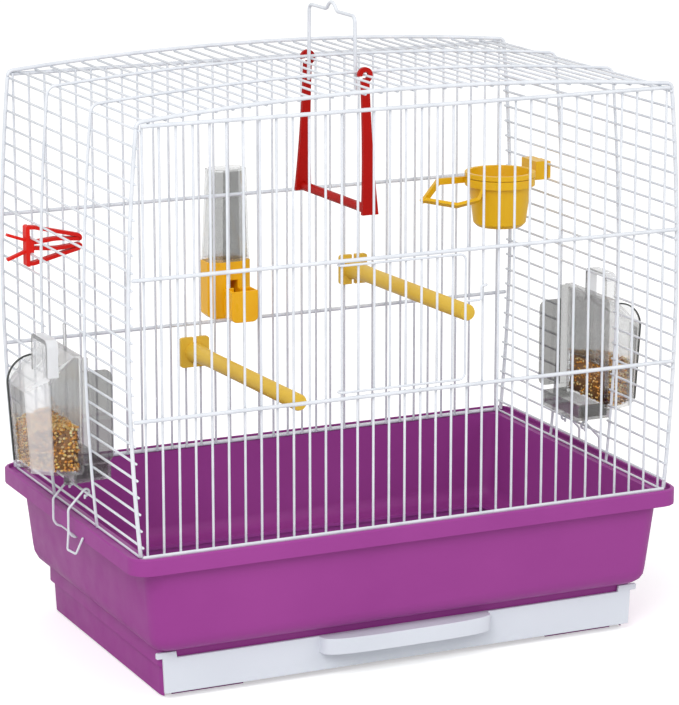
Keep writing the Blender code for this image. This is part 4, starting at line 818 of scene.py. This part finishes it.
EDGE_ON = 0.3            # most for a face along the axis


def hopper_points(inset, drop):
    """Corners of the faceted hopper, or with an inset and a drop of the room inside it."""
    corners = []
    for y_sign in (-1, 1):
        for (out, y, top_level), (inward, aside) in zip(HOPPER_RIM, RIM_INSET):
            far = out - inset * inward
            wide = y_sign * (y - inset * aside)
            corners.append((-far, wide, lift(top_level) - drop))
            corners.append((-far * HOPPER_LEAN, wide, lift(HOPPER_FLOOR) + inset))
        for out in (inset, RIDGE_OUT):
            corners.append((-out, y_sign * (RIDGE_Y - inset), lift(RIDGE_LEVEL) - drop))
    return corners


def shield_line():
    """The curved top edge of the shield, from the outer corner up and in."""
    middle = (SHIELD_R - HOPPER_RIM[-1][0], lift(SHIELD_TOP) - SHIELD_R)
    return arc(middle, SHIELD_R, *SHIELD_CURL)


def feeder_steps():
    """What is joined to the hopper's block and cut from it, in order."""
    wall = FEEDER_WALL
    floor = lift(HOPPER_FLOOR)
    face_out, face_y, face_level = HOPPER_RIM[-1]
    side_y = HOPPER_RIM[0][1]
    tray = box((-TRAY_BACK, -TRAY_HALF_Y, lift(TRAY_LOW)), (TRAY_REACH, TRAY_HALF_Y, lift(TRAY_TOP)))
    tray_room = box((-2 * wall, wall - TRAY_HALF_Y, lift(TRAY_LOW) + wall),
                    (TRAY_REACH - wall, TRAY_HALF_Y - wall, lift(TRAY_TOP) + OVERRUN))
    slot = box((-2 * wall, -SLOT_HALF_Y, floor + wall), (OVERRUN, SLOT_HALF_Y, lift(SLOT_TOP)))
    post = box((-POST_OUT, -side_y - POST_DEPTH, lift(POST_LOW)), (POST_IN, BITE - side_y, lift(POST_TOP)))
    cheek_line = [(-BITE, lift(CHEEK_LOW))]
    for height, start in ((lift(CHEEK_LOW) + CHEEK_R, -90), (lift(CHEEK_TOP) - CHEEK_R, 0)):
        cheek_line += arc((CHEEK_REACH - CHEEK_R, height), CHEEK_R, start, start + 90, CUP_STEPS)
    cheek_line.append((-BITE, lift(CHEEK_TOP)))
    cheek = plate(cheek_line, BITE / 2 - side_y, BITE / 2 - side_y + wall)
    foot = disc(BOSS_R, lift(side_wire_level(LATCH_WIRE)) + FINE_R, floor + BITE)
    head_top = lift(side_wire_level(WINDOW_LAST + 1)) - FINE_R
    head = disc(BOSS_TOP_R, lift(RIDGE_LEVEL) - wall - BITE, head_top)
    curve = [(max(x, BITE - face_out), z) for x, z in shield_line()]
    curve.append((SHIELD_R - face_out, lift(SHIELD_TOP) - 2 * wall))
    curve.append((BITE - face_out, lift(face_level) - wall))
    shield = plate(curve, face_y - wall, face_y - BITE / 2)
    top = lift(GRIP_TOP)
    low = lift(GRIP_FOOT)
    corners = ((GRIP_BACK_Y, low), (GRIP_BACK_Y, top), (GRIP_FRONT_Y, top), (GRIP_FRONT_Y, low))
    route = rounded_path([(-GRIP_OUT, y, z) for y, z in corners], GRIP_BEND)
    grip = sweep(route, oblong(GRIP_HALF_WIDTH, GRIP_HALF_DEPTH), (1, 0, 0))
    steps = [(JOIN, grip), (CUT, hull(hopper_points(wall, wall * ROOM_DROP)))]
    steps += [(JOIN, shape) for shape in (tray, post, cheek, shield, foot, head)]
    return steps + [(CUT, tray_room), (CUT, slot)]


def feeder_place(turn):
    return TO_MIDDLE @ (turn @ Matrix.Translation((-FEEDER_X, 0, 0)))


def feeder(body, turn):
    """A clear seed feeder: faceted hopper outside, tray and cheek inside, grip and curved shield. Painted
    shade, painted reflections and a painted highlight are put on its faces, and a dark strip of painted
    shade runs along the shield's edge.
    """
    move = feeder_place(turn)
    block = hull(hopper_points(0, 0))
    steps = feeder_steps()
    piece = formed(body + "_form", body, CLEAR, (body,), block, steps, FINE_EDGE, move)
    back = move.inverted()
    turned_back = back.to_3x3()
    paint(piece, (PAINTED_SHADE_PLASTIC, PAINTED_REFLECTION_PLASTIC, PAINTED_EDGE_SHADE, PAINTED_HIGHLIGHT_PLASTIC),
          lambda face: feeder_tone(back @ face.center, turned_back @ face.normal))
    # A thin dark strip along the shield's outer and curved top edge: painted shade standing in for the dark
    # line of the clear plastic's edge
    face_out, face_y = HOPPER_RIM[-1][:2]
    y = face_y - FEEDER_WALL / 2
    foot_out = face_out * HOPPER_LEAN + SHIELD_EDGE
    edge = [(-foot_out, y, lift(HOPPER_FLOOR) + FEEDER_WALL)]
    edge += [(x - SHIELD_EDGE, y, z) for x, z in shield_line()]
    rim = sweep(edge, oblong(SHIELD_EDGE, FEEDER_WALL / 2), (1, 0, 0))
    formed(body + "_shield_painted_shade_line", body, PAINTED_EDGE_LINE, (), rim, (), RIM_EDGE, move)


def feeder_tone(place, facing):
    """The material of a face, by where it lies on the feeder and which way it faces: painted shade on the
    faces at and inside the swivel axis, the tray's floor, what stands above the ridge under the grip's top,
    and the slanting facets on the +Y side; a painted highlight on the grip and the top above its bend; a
    painted reflection on the outer roof faces and the slanting facets on the -Y side.
    """
    out = -place.x
    if out < FEEDER_WALL * NEAR and (out < -BITE or abs(facing.x) > FLAT_ON):
        return PAINTED_SHADE_PLASTIC
    if out < TRAY_BACK + BITE and place.z < lift(TRAY_TOP) + BITE:
        return PAINTED_SHADE_PLASTIC
    on_grip = abs(out - GRIP_OUT) < GRIP_HALF_WIDTH * NEAR and place.y < GRIP_FRONT_Y + GRIP_BEND
    if on_grip and place.z > lift(GRIP_FOOT):
        return PAINTED_HIGHLIGHT_PLASTIC
    if place.z > lift(RIDGE_LEVEL):
        return PAINTED_HIGHLIGHT_PLASTIC if place.z > lift(GRIP_TOP) - GRIP_BEND else PAINTED_SHADE_PLASTIC
    if place.z > lift(HOPPER_RIM[-1][2]):
        return PAINTED_REFLECTION_PLASTIC if abs(facing.y) < EDGE_ON and out > HOPPER_RIM[2][0] else CLEAR
    if abs(facing.z) < EDGE_ON and min(abs(facing.x), abs(facing.y)) > SLANTING:
        return PAINTED_SHADE_PLASTIC if place.y > 0 else PAINTED_REFLECTION_PLASTIC
    return CLEAR


# Drinker, perches, swing and greens clip

DRINKER_X = -0.0238
DRINKER_FACE_Y = 0.1193
DRINKER_LOW = 0.0864
DRINKER_HIGH = 0.1265
DRINKER_HALF_X = 0.016
DRINKER_DEPTH = 0.022
DRINKER_TOP_HALF_X = 0.0134
DRINKER_TOP_DEPTH = 0.018
DRINKER_TOP = 0.191
FACET_SHARE = 0.42
DRINKER_WALL = 0.0015
TROUGH_WIRE = 14         # the upright on the left of the trough's neck
TROUGH_HALF_X = 0.0098
TROUGH_FRONT_Y = 0.1
TROUGH_BACK_Y = 0.1141
TROUGH_LOW = 0.0875
TROUGH_HIGH = 0.1095
TROUGH_WALL = 0.0014
TROUGH_R = 0.004
NECK_HALF_X = 0.0042
PERCH_ROOT = ((0, 0.0075), (0.0048, 0.0066), (0.012, 0.00616), (0.03, 0.0055))  # place along, radius
PERCH_TIP = ((0.00165, 0.0055), (0.00025, 0.00495), (0, 0.00385))  # place before the end, radius
PLATE_HALF = 0.0105
PLATE_DEPTH = 0.003
PLATE_R = 0.002
NOTCH_HALF = 0.0013
NOTCH_DEPTH = 0.004
PERCH_LENGTH = 0.175
PERCH_RISE = 0.0045
TIE_Z = 0.0035
TIE_X = 0.0084
TIE_DEPTH = 0.0021
SWING_HOOK_Y = 0.0442
SWING_FOOT_Y = 0.0492
SWING_HOOK_R = 0.0036
SWING_HOOK_HALF = 0.0015
SWING_ARM_HALF = 0.0014
SWING_TOP_HALF = 0.0027
SWING_FOOT_HALF = 0.0057
SWING_FLARE = 2.2        # power of the arms' curve
SWING_TWIST = 0.0013     # how far the feet stand aside, front to the right and back to the left
SWING_FOOT = 0.1873
SWING_BAR = 0.1902
SWING_BAR_R = 0.0031
SWING_STEPS = 10
GREENS_Y = 0.065
GREENS_WIRE = 14
GREENS_HALF_Y = 0.0034
GREENS_BODY_HALF = 0.0135
GREENS_BODY_DEPTH = 0.0026
PRONG_REACH = 0.0122
PRONG_SPREAD = 0.0083
PRONG_ROOT = 0.0034
PRONG_HALF = 0.0009
PRONG_HALF_Y = 0.0017
JAW_REACH = 0.032
JAW_HALF = 0.0012
JAW_ROOT = 0.012
JAW_TIP = 0.0042
JAW_BOW = 0.00336
JAW_END = 0.0018
LIP_DEPTH = 0.0022
LIP_LOW = 0.0268
LIP_HIGH = 0.0336
BAY_HALF_X = 0.1643
TUB_FACE = 0.103


def rounded_square(half, radius, x, z):
    """An upright square with round corners, anticlockwise from its upper right."""
    points = []
    for quarter, (a, b) in enumerate(((1, 1), (-1, 1), (-1, -1), (1, -1))):
        middle = (x + a * (half - radius), z + b * (half - radius))
        points += arc(middle, radius, 90 * quarter, 90 * quarter + 90, PLATE_STEPS)
    return points


def perch(name, node, right_vertical, level):
    """A round perch with a swollen root, a notched plate inside the back wires and a tie behind them."""
    x = vertical_x(right_vertical) - VERTICAL_PITCH / 2
    z = lift(level)
    back = HALF_DEPTH - FINE_R
    face = back - PLATE_DEPTH
    root = Vector((x, face + BITE, z))
    tip = Vector((x, face - PERCH_LENGTH, z + PERCH_RISE))
    run = tip - root
    aim = Matrix.Translation(root) @ run.to_track_quat("Z", "Y").to_matrix().to_4x4()
    spans = [*PERCH_ROOT, *[(run.length - rest, radius) for rest, radius in PERCH_TIP]]
    rod = loft([[aim @ Vector((a, b, along)) for a, b in ngon(r, ROD_SIDES)] for along, r in spans])
    half = PLATE_HALF
    steps = [(JOIN, plate(rounded_square(half, PLATE_R, x, z), face, back))]
    for sign in (-1, 1):
        low, high = sorted((z + sign * (half - NOTCH_DEPTH), z + sign * (half + OVERRUN)))
        steps.append((CUT, box((x - NOTCH_HALF, face + BITE - OVERRUN, low),
                               (x + NOTCH_HALF, back + OVERRUN, high))))
    neck = VERTICAL_PITCH / 2 - FINE_R
    tie_y = HALF_DEPTH + FINE_R
    steps.append((JOIN, box((x - neck, back - BITE, z - TIE_Z), (x + neck, tie_y + BITE, z + TIE_Z))))
    steps.append((JOIN, box((x - TIE_X, tie_y, z - TIE_Z - BITE),
                            (x + TIE_X, tie_y + TIE_DEPTH, z + TIE_Z + BITE))))
    formed(name, "cage", YELLOW, (node,), rod, steps, BROAD_EDGE)


def swing():
    """Two flat arms that widen to the foot and hook over the middle roof wire, and a round bar."""
    pivot = lift(roof_level(0) - WELD_STEP)
    foot = lift(SWING_FOOT)
    bar = lift(SWING_BAR)
    reach = SWING_FOOT_Y + SWING_ARM_HALF / 2
    ends = [(SWING_TWIST, -reach, bar), (-SWING_TWIST, reach, bar)]
    first = sweep(ends, ngon(SWING_BAR_R, ROUND_SIDES), (0, 0, 1))
    top = pivot - SWING_HOOK_R + SWING_HOOK_HALF / 2
    steps = []
    for sign in (-1, 1):
        rings = []
        for step in range(SWING_STEPS + 1):
            share = step / SWING_STEPS
            half = SWING_TOP_HALF + (SWING_FOOT_HALF - SWING_TOP_HALF) * (1 - share) ** SWING_FLARE
            y = SWING_FOOT_Y + (SWING_HOOK_Y - SWING_FOOT_Y) * share
            z = foot + (top - foot) * share
            aside = -sign * SWING_TWIST * (1 - share)
            rings.append([(a + aside, sign * (y + b), z) for a, b in oblong(half, SWING_ARM_HALF)])
        steps.append((JOIN, loft(rings)))
        line = [(a, sign * SWING_HOOK_Y, b) for a, b in arc((0, pivot), SWING_HOOK_R, *SWING_CURL)]
        steps.append((JOIN, sweep(line, oblong(SWING_ARM_HALF - BITE / 4, SWING_HOOK_HALF), (0, 1, 0))))
    formed("swing_form", "swing", RED, ("swing",), first, steps)


def greens_clip():
    """A body outside the left wires with two finger prongs, and two sprung jaws that meet inside."""
    wire_x = side_wire_x(GREENS_WIRE)
    outer = wire_x + FINE_R
    inner = wire_x - FINE_R
    low = lift(side_wire_level(GREENS_WIRE)) + FINE_R
    high = lift(side_wire_level(GREENS_WIRE + 1)) - FINE_R
    middle = (low + high) / 2
    round_r = GREENS_BODY_DEPTH / 2
    spine = -outer - round_r
    half = GREENS_BODY_HALF
    outline = [(-outer, middle - half), (-outer, middle + half)]
    outline += arc((spine, middle + half - round_r), round_r, 90, 180, PLATE_STEPS)
    outline += arc((spine, middle - half + round_r), round_r, 180, 270, PLATE_STEPS)
    near = GREENS_Y - GREENS_HALF_Y
    far = GREENS_Y + GREENS_HALF_Y
    first = plate(outline, near, far)
    root = inner - round_r
    steps = [(JOIN, box((spine, near + BITE, low), (-root, far - BITE, high)))]
    tip = JAW_REACH - root
    for sign in (1, -1):
        start = (spine, GREENS_Y, middle + sign * PRONG_ROOT)
        end = (spine - round_r - PRONG_REACH, GREENS_Y, middle + sign * PRONG_SPREAD)
        steps.append((JOIN, sweep([start, end], oblong(PRONG_HALF_Y, PRONG_HALF), (0, 1, 0))))
        route = ((-outer - BITE, JAW_ROOT), (-inner + round_r, JAW_ROOT), (tip, JAW_TIP),
                 (tip + BITE, JAW_END), ((tip - root) / 2, JAW_BOW), (-root - BITE, JAW_END))
        path = rounded_path([(a, GREENS_Y, middle + sign * b) for a, b in route], JAW_TIP)
        steps.append((JOIN, sweep(path, oblong(GREENS_HALF_Y - 2 * BITE, JAW_HALF), (0, 1, 0))))
    formed("greens_clip_form", "cage", BRIGHT_RED, ("greens_clip",), first, steps)


def facet_ring(half_x, depth, level, set_back=0.0):
    """An eight-sided outline behind the back wires."""
    flat = half_x * FACET_SHARE
    cut = depth * FACET_SHARE / 2
    near = DRINKER_FACE_Y + set_back
    far = near + depth
    spots = ((-half_x, near + cut), (-flat, near), (flat, near), (half_x, near + cut),
             (half_x, far - cut), (flat, far), (-flat, far), (-half_x, far - cut))
    return [(DRINKER_X + a, b, lift(level)) for a, b in spots]


def drinker_base():
    """A faceted base behind the back wires, whose trough reaches in between two of them."""
    draft = 2 * DRINKER_WALL
    foot = DRINKER_LOW + draft
    first = loft([facet_ring(DRINKER_HALF_X - draft, DRINKER_DEPTH - draft, DRINKER_LOW),
                  facet_ring(DRINKER_HALF_X, DRINKER_DEPTH, foot),
                  facet_ring(DRINKER_HALF_X, DRINKER_DEPTH, DRINKER_HIGH)])
    x = vertical_x(TROUGH_WIRE) + VERTICAL_PITCH / 2
    low = lift(TROUGH_LOW)
    high = lift(TROUGH_HIGH)
    half = TROUGH_HALF_X
    line = [(x - a, b) for a, b in arc((half - TROUGH_R, low + TROUGH_R), TROUGH_R, 0, -90, CUP_STEPS)]
    line += [(2 * x - a, b) for a, b in reversed(line)]
    line += [(x + half, high), (x - half, high)]
    wall = TROUGH_WALL
    neck = NECK_HALF_X
    steps = ((JOIN, plate(line, TROUGH_FRONT_Y, TROUGH_BACK_Y)),
             (JOIN, box((x - neck, TROUGH_BACK_Y - BITE, lift(foot)),
                        (x + neck, DRINKER_FACE_Y + BITE, high - wall))),
             (CUT, box((x - half + wall, TROUGH_FRONT_Y + wall, low + wall),
                       (x + half - wall, TROUGH_BACK_Y - wall, high + OVERRUN))),
             (CUT, box((x - neck + wall, TROUGH_BACK_Y - 2 * wall, lift(foot) + wall),
                       (x + neck - wall, DRINKER_FACE_Y + DRINKER_DEPTH / 2, high + OVERRUN))))
    node = "drinker_base"
    formed(node + "_form", "cage", ORANGE, (node,), first, steps, BROAD_EDGE)


def drinker_bottle():
    """A faceted clear bottle that narrows upward, with painted shade on the wall towards the cage."""
    wall = DRINKER_WALL
    half = DRINKER_TOP_HALF_X
    depth = DRINKER_TOP_DEPTH
    first = loft([facet_ring(DRINKER_HALF_X - BITE, DRINKER_DEPTH - BITE, DRINKER_HIGH),
                  facet_ring(half, depth, DRINKER_TOP)])
    room = loft([facet_ring(DRINKER_HALF_X - wall, DRINKER_DEPTH - 2 * wall, DRINKER_HIGH + wall, wall),
                 facet_ring(half - wall, depth - 2 * wall, DRINKER_TOP - wall, wall)])
    node = "drinker_bottle"
    bottle = formed(node + "_form", "cage", CLEAR, (node,), first, ((CUT, room),))
    middle = SHIFT_Y + DRINKER_FACE_Y + DRINKER_DEPTH / 2
    paint(bottle, (PAINTED_SHADE_PLASTIC, PAINTED_EDGE_SHADE),
          lambda face: PAINTED_SHADE_PLASTIC if abs(face.normal.y) > FLAT_ON and face.center.y < middle else CLEAR)


def tub_lip():
    """The lip on the tub's face above the drawer."""
    lip = box((-BAY_HALF_X, -TUB_FACE, LIP_LOW), (BAY_HALF_X, LIP_DEPTH - TUB_FACE, LIP_HIGH))
    formed("tub_lip", "cage", PURPLE, (), lip, (), FINE_EDGE)


# Seed


def inside(point, outline):
    """How far a point lies inside a convex outline given anticlockwise, below zero when it is outside."""
    nearest = math.inf
    for (ax, ay), (bx, by) in zip(outline, outline[1:] + outline[:1]):
        length = math.hypot(bx - ax, by - ay)
        away = ((bx - ax) * (point[1] - ay) - (by - ay) * (point[0] - ax)) / length
        nearest = min(nearest, away)
    return nearest


def lean(height):
    """How far out the hopper's walls stand at a height, as a share of the rim's reach."""
    share = (height - lift(HOPPER_FLOOR)) / (HOPPER_RIM[-1][2] - HOPPER_FLOOR)
    return HOPPER_LEAN + (1 - HOPPER_LEAN) * share


def seed_top(x, y):
    """The heap's surface: highest in the middle of the slot, falling to the outer wall and the sides."""
    ripple = noise.noise(Vector((x, y, 0)) * RIPPLE_SCALE) * RIPPLE
    heap = SEED_HEAP * (x / SEED_OUTLINE[-1][0] + HEAP_START)
    return lift(SEED_LEVEL) + heap - abs(y) * SEED_FALL + ripple


def seeds(name, body, turn):
    """Loose seed against the walls and the top of the heap, over a solid core whose dark colour is painted
    shade between the grains.
    """
    draw = random.Random(SEED_RANDOM)
    outline = [(-out, -y) for out, y in reversed(SEED_OUTLINE)] + [(-out, y) for out, y in SEED_OUTLINE]
    floor = lift(HOPPER_FLOOR) + FEEDER_WALL
    settle = feeder_place(turn)
    ball = bmesh.new()
    bmesh.ops.create_icosphere(ball, subdivisions=1, radius=1)
    shape, shape_faces = drained(ball)
    stretch = Matrix.Diagonal(SEED_STRETCH) * SEED_SIZE
    wide = SEED_OUTLINE[0][1]
    layers = int((SEED_LEVEL + SEED_HEAP - HOPPER_FLOOR) / SEED_PITCH) + 1
    rows = int(2 * wide / SEED_PITCH) + 1
    columns = int(SEED_OUTLINE[-1][0] / SEED_PITCH) + 1
    vertices = []
    faces = []
    colours = []

    def jitter():
        return draw.uniform(-1, 1) * SEED_PITCH * SEED_JITTER

    def fill(corners, corner_faces, tone):
        join(vertices, faces, corners, corner_faces)
        colours.extend([tone] * len(corners))

    for layer, row, column in itertools.product(range(layers), range(rows), range(columns)):
        x = -SEED_PITCH * (column + layer % 2 / 2) + jitter()
        y = -wide + SEED_PITCH * row + jitter()
        z = floor + SEED_SIZE + SEED_PITCH * layer + jitter()
        gap = inside((x, y), outline)
        below = seed_top(x, y) - z
        if gap < SEED_SIZE or below < 0 or min(gap, below) > SEED_SHELL:
            continue
        spin = Matrix.Rotation(draw.uniform(0, math.tau), 3, "Z")
        spin = spin @ Matrix.Rotation(draw.uniform(0, SEED_TILT), 3, "X")
        tone = draw.choice(SEED_TONES)
        shade = draw.uniform(*SEED_SHADE)
        middle = Vector((x * lean(z), y, z))
        corners = [settle @ (middle + spin @ (stretch @ corner)) for corner in shape]
        fill(corners, shape_faces, (*[min(c * shade, 1) for c in tone], 1))
    core = [(x * CORE_SHARE - CORE_STEP, y * CORE_SHARE) for x, y in outline]
    low = [settle @ Vector((x * lean(floor), y, floor + SEED_SIZE)) for x, y in core]
    tops = [(x, y, seed_top(x, y) - SEED_SIZE * CORE_DROP) for x, y in core]
    high = [settle @ Vector((x * lean(z), y, z)) for x, y, z in tops]
    fill(*drained(loft([low, high])), CORE_PAINTED_SHADE)
    piece = make(name, vertices, faces, HUSK, body, ())
    husk = piece.data.attributes.new("husk", "FLOAT_COLOR", "POINT")
    for index, colour in enumerate(colours):
        husk.data[index].color = colour


# The object

front_or_back("front_wires", -1, "front_panel")
front_or_back("back_wires", 1, "back_panel")
side("left_side", -1)
side("right_side", 1)
roof()
for face, y_sign in (("front", -1), ("back", 1)):
    for place, level in (("low", LOW_RAIL), ("mid", MID_RAIL)):
        rail(f"{face}_rail_{place}", y_sign, level)
middle_arch("middle_arch_front_wire", -MID_ARCH_Y, "arch_mid_front")
middle_arch("middle_arch_back_wire", MID_ARCH_Y, "arch_mid_back")
door()
latch("latch_left", NO_TURN)
latch("latch_right", HALF_TURN)
handle()
moulded("base_tub", "cage", PURPLE, TUB_EDGE, segments=3)
moulded("drawer", "drawer", GREY, BROAD_EDGE)
moulded("bath_cup", "bath_cup", AMBER)
moulded("cup_holder", "cage", AMBER)
tub_lip()
feeder("feeder_left", NO_TURN)
feeder("feeder_right", HALF_TURN)
drinker_base()
drinker_bottle()
swing()
perch("low_perch", "perch_low", right_vertical=12, level=0.0675)
perch("high_perch", "perch_high", right_vertical=23, level=0.115)
greens_clip()
seeds("seed_left", "feeder_left", NO_TURN)
seeds("seed_right", "feeder_right", HALF_TURN)


# Floor, light and camera

WHITE = (1, 1, 1, 1)
FLOOR_SIZE = 9.0
FLOOR_TONE = (0.8, 0.8, 0.8, 1)
FLOOR_GLOW = 0.45        # for the camera only
WORLD_LEVEL = 0.75
BACKDROP_LEVEL = 1.0     # where the world is seen itself
LAMP_AIM = (0, 0, 0.2)
CAMERA_PLACE = (-0.86339, SHIFT_Y - 1.85874, 0.67546)
CAMERA_YAW = -0.4361
CAMERA_PITCH = -0.2352
CAMERA_LENS = 162.41
CAMERA_END = 50
SENSOR = 36.0


def floor():
    """A pale floor that glows a little for the camera."""
    half = FLOOR_SIZE / 2
    mesh = bpy.data.meshes.new("floor")
    mesh.from_pydata([(x, y, 0) for x, y in oblong(half, half)], [], [(0, 1, 2, 3)])
    made, tree, shader = shader_of("floor")
    put(shader, {"Base Color": FLOOR_TONE, "Roughness": 0.9, "Emission Color": WHITE})
    rays = tree.nodes.new("ShaderNodeLightPath")
    glow = tree.nodes.new("ShaderNodeMath")
    glow.operation = "MULTIPLY"
    glow.inputs[1].default_value = FLOOR_GLOW
    tree.links.new(rays.outputs["Is Camera Ray"], glow.inputs[0])
    tree.links.new(glow.outputs["Value"], shader.inputs["Emission Strength"])
    mesh.materials.append(made)
    placed("floor", mesh)


def background(tree, level):
    made = tree.nodes.new("ShaderNodeBackground")
    put(made, {"Color": WHITE, "Strength": level})
    return made.outputs["Background"]


def larger(tree, first, second):
    step = tree.nodes.new("ShaderNodeMath")
    step.operation = "MAXIMUM"
    tree.links.new(first, step.inputs[0])
    tree.links.new(second, step.inputs[1])
    return step.outputs["Value"]


def world():
    """White all round: softer as a light than where it is seen, mirrored or looked through to."""
    made = bpy.data.worlds.new("studio")
    bpy.context.scene.world = made
    made.use_nodes = True
    tree = made.node_tree
    tree.nodes.clear()
    rays = tree.nodes.new("ShaderNodeLightPath").outputs
    seen = larger(tree, rays["Is Camera Ray"], rays["Is Glossy Ray"])
    seen = larger(tree, seen, rays["Is Transmission Ray"])
    mix = tree.nodes.new("ShaderNodeMixShader")
    tree.links.new(seen, mix.inputs["Fac"])
    tree.links.new(background(tree, WORLD_LEVEL), mix.inputs[1])
    tree.links.new(background(tree, BACKDROP_LEVEL), mix.inputs[2])
    out = tree.nodes.new("ShaderNodeOutputWorld")
    tree.links.new(mix.outputs["Shader"], out.inputs["Surface"])


def lamp(name, place, size, watts):
    data = bpy.data.lights.new(name, "AREA")
    data.size = size
    data.energy = watts
    piece = placed(name, data)
    piece.location = place
    aim = Vector(LAMP_AIM) - Vector(place)
    piece.rotation_euler = aim.to_track_quat("-Z", "Y").to_euler()


def camera():
    data = bpy.data.cameras.new("camera")
    data.sensor_width = SENSOR
    data.lens = CAMERA_LENS
    data.clip_end = CAMERA_END
    piece = placed("camera", data)
    turn = Matrix.Rotation(CAMERA_YAW, 4, "Z") @ Matrix.Rotation(math.pi / 2 + CAMERA_PITCH, 4, "X")
    piece.matrix_world = Matrix.Translation(CAMERA_PLACE) @ turn
    bpy.context.scene.camera = piece


floor()
world()
lamp("key", (-1.3, -1.5, 1.7), size=1.3, watts=28)
lamp("fill", (1.6, -1.4, 1.1), size=1.2, watts=7)
camera()
bpy.context.scene.view_settings.view_transform = "Standard"
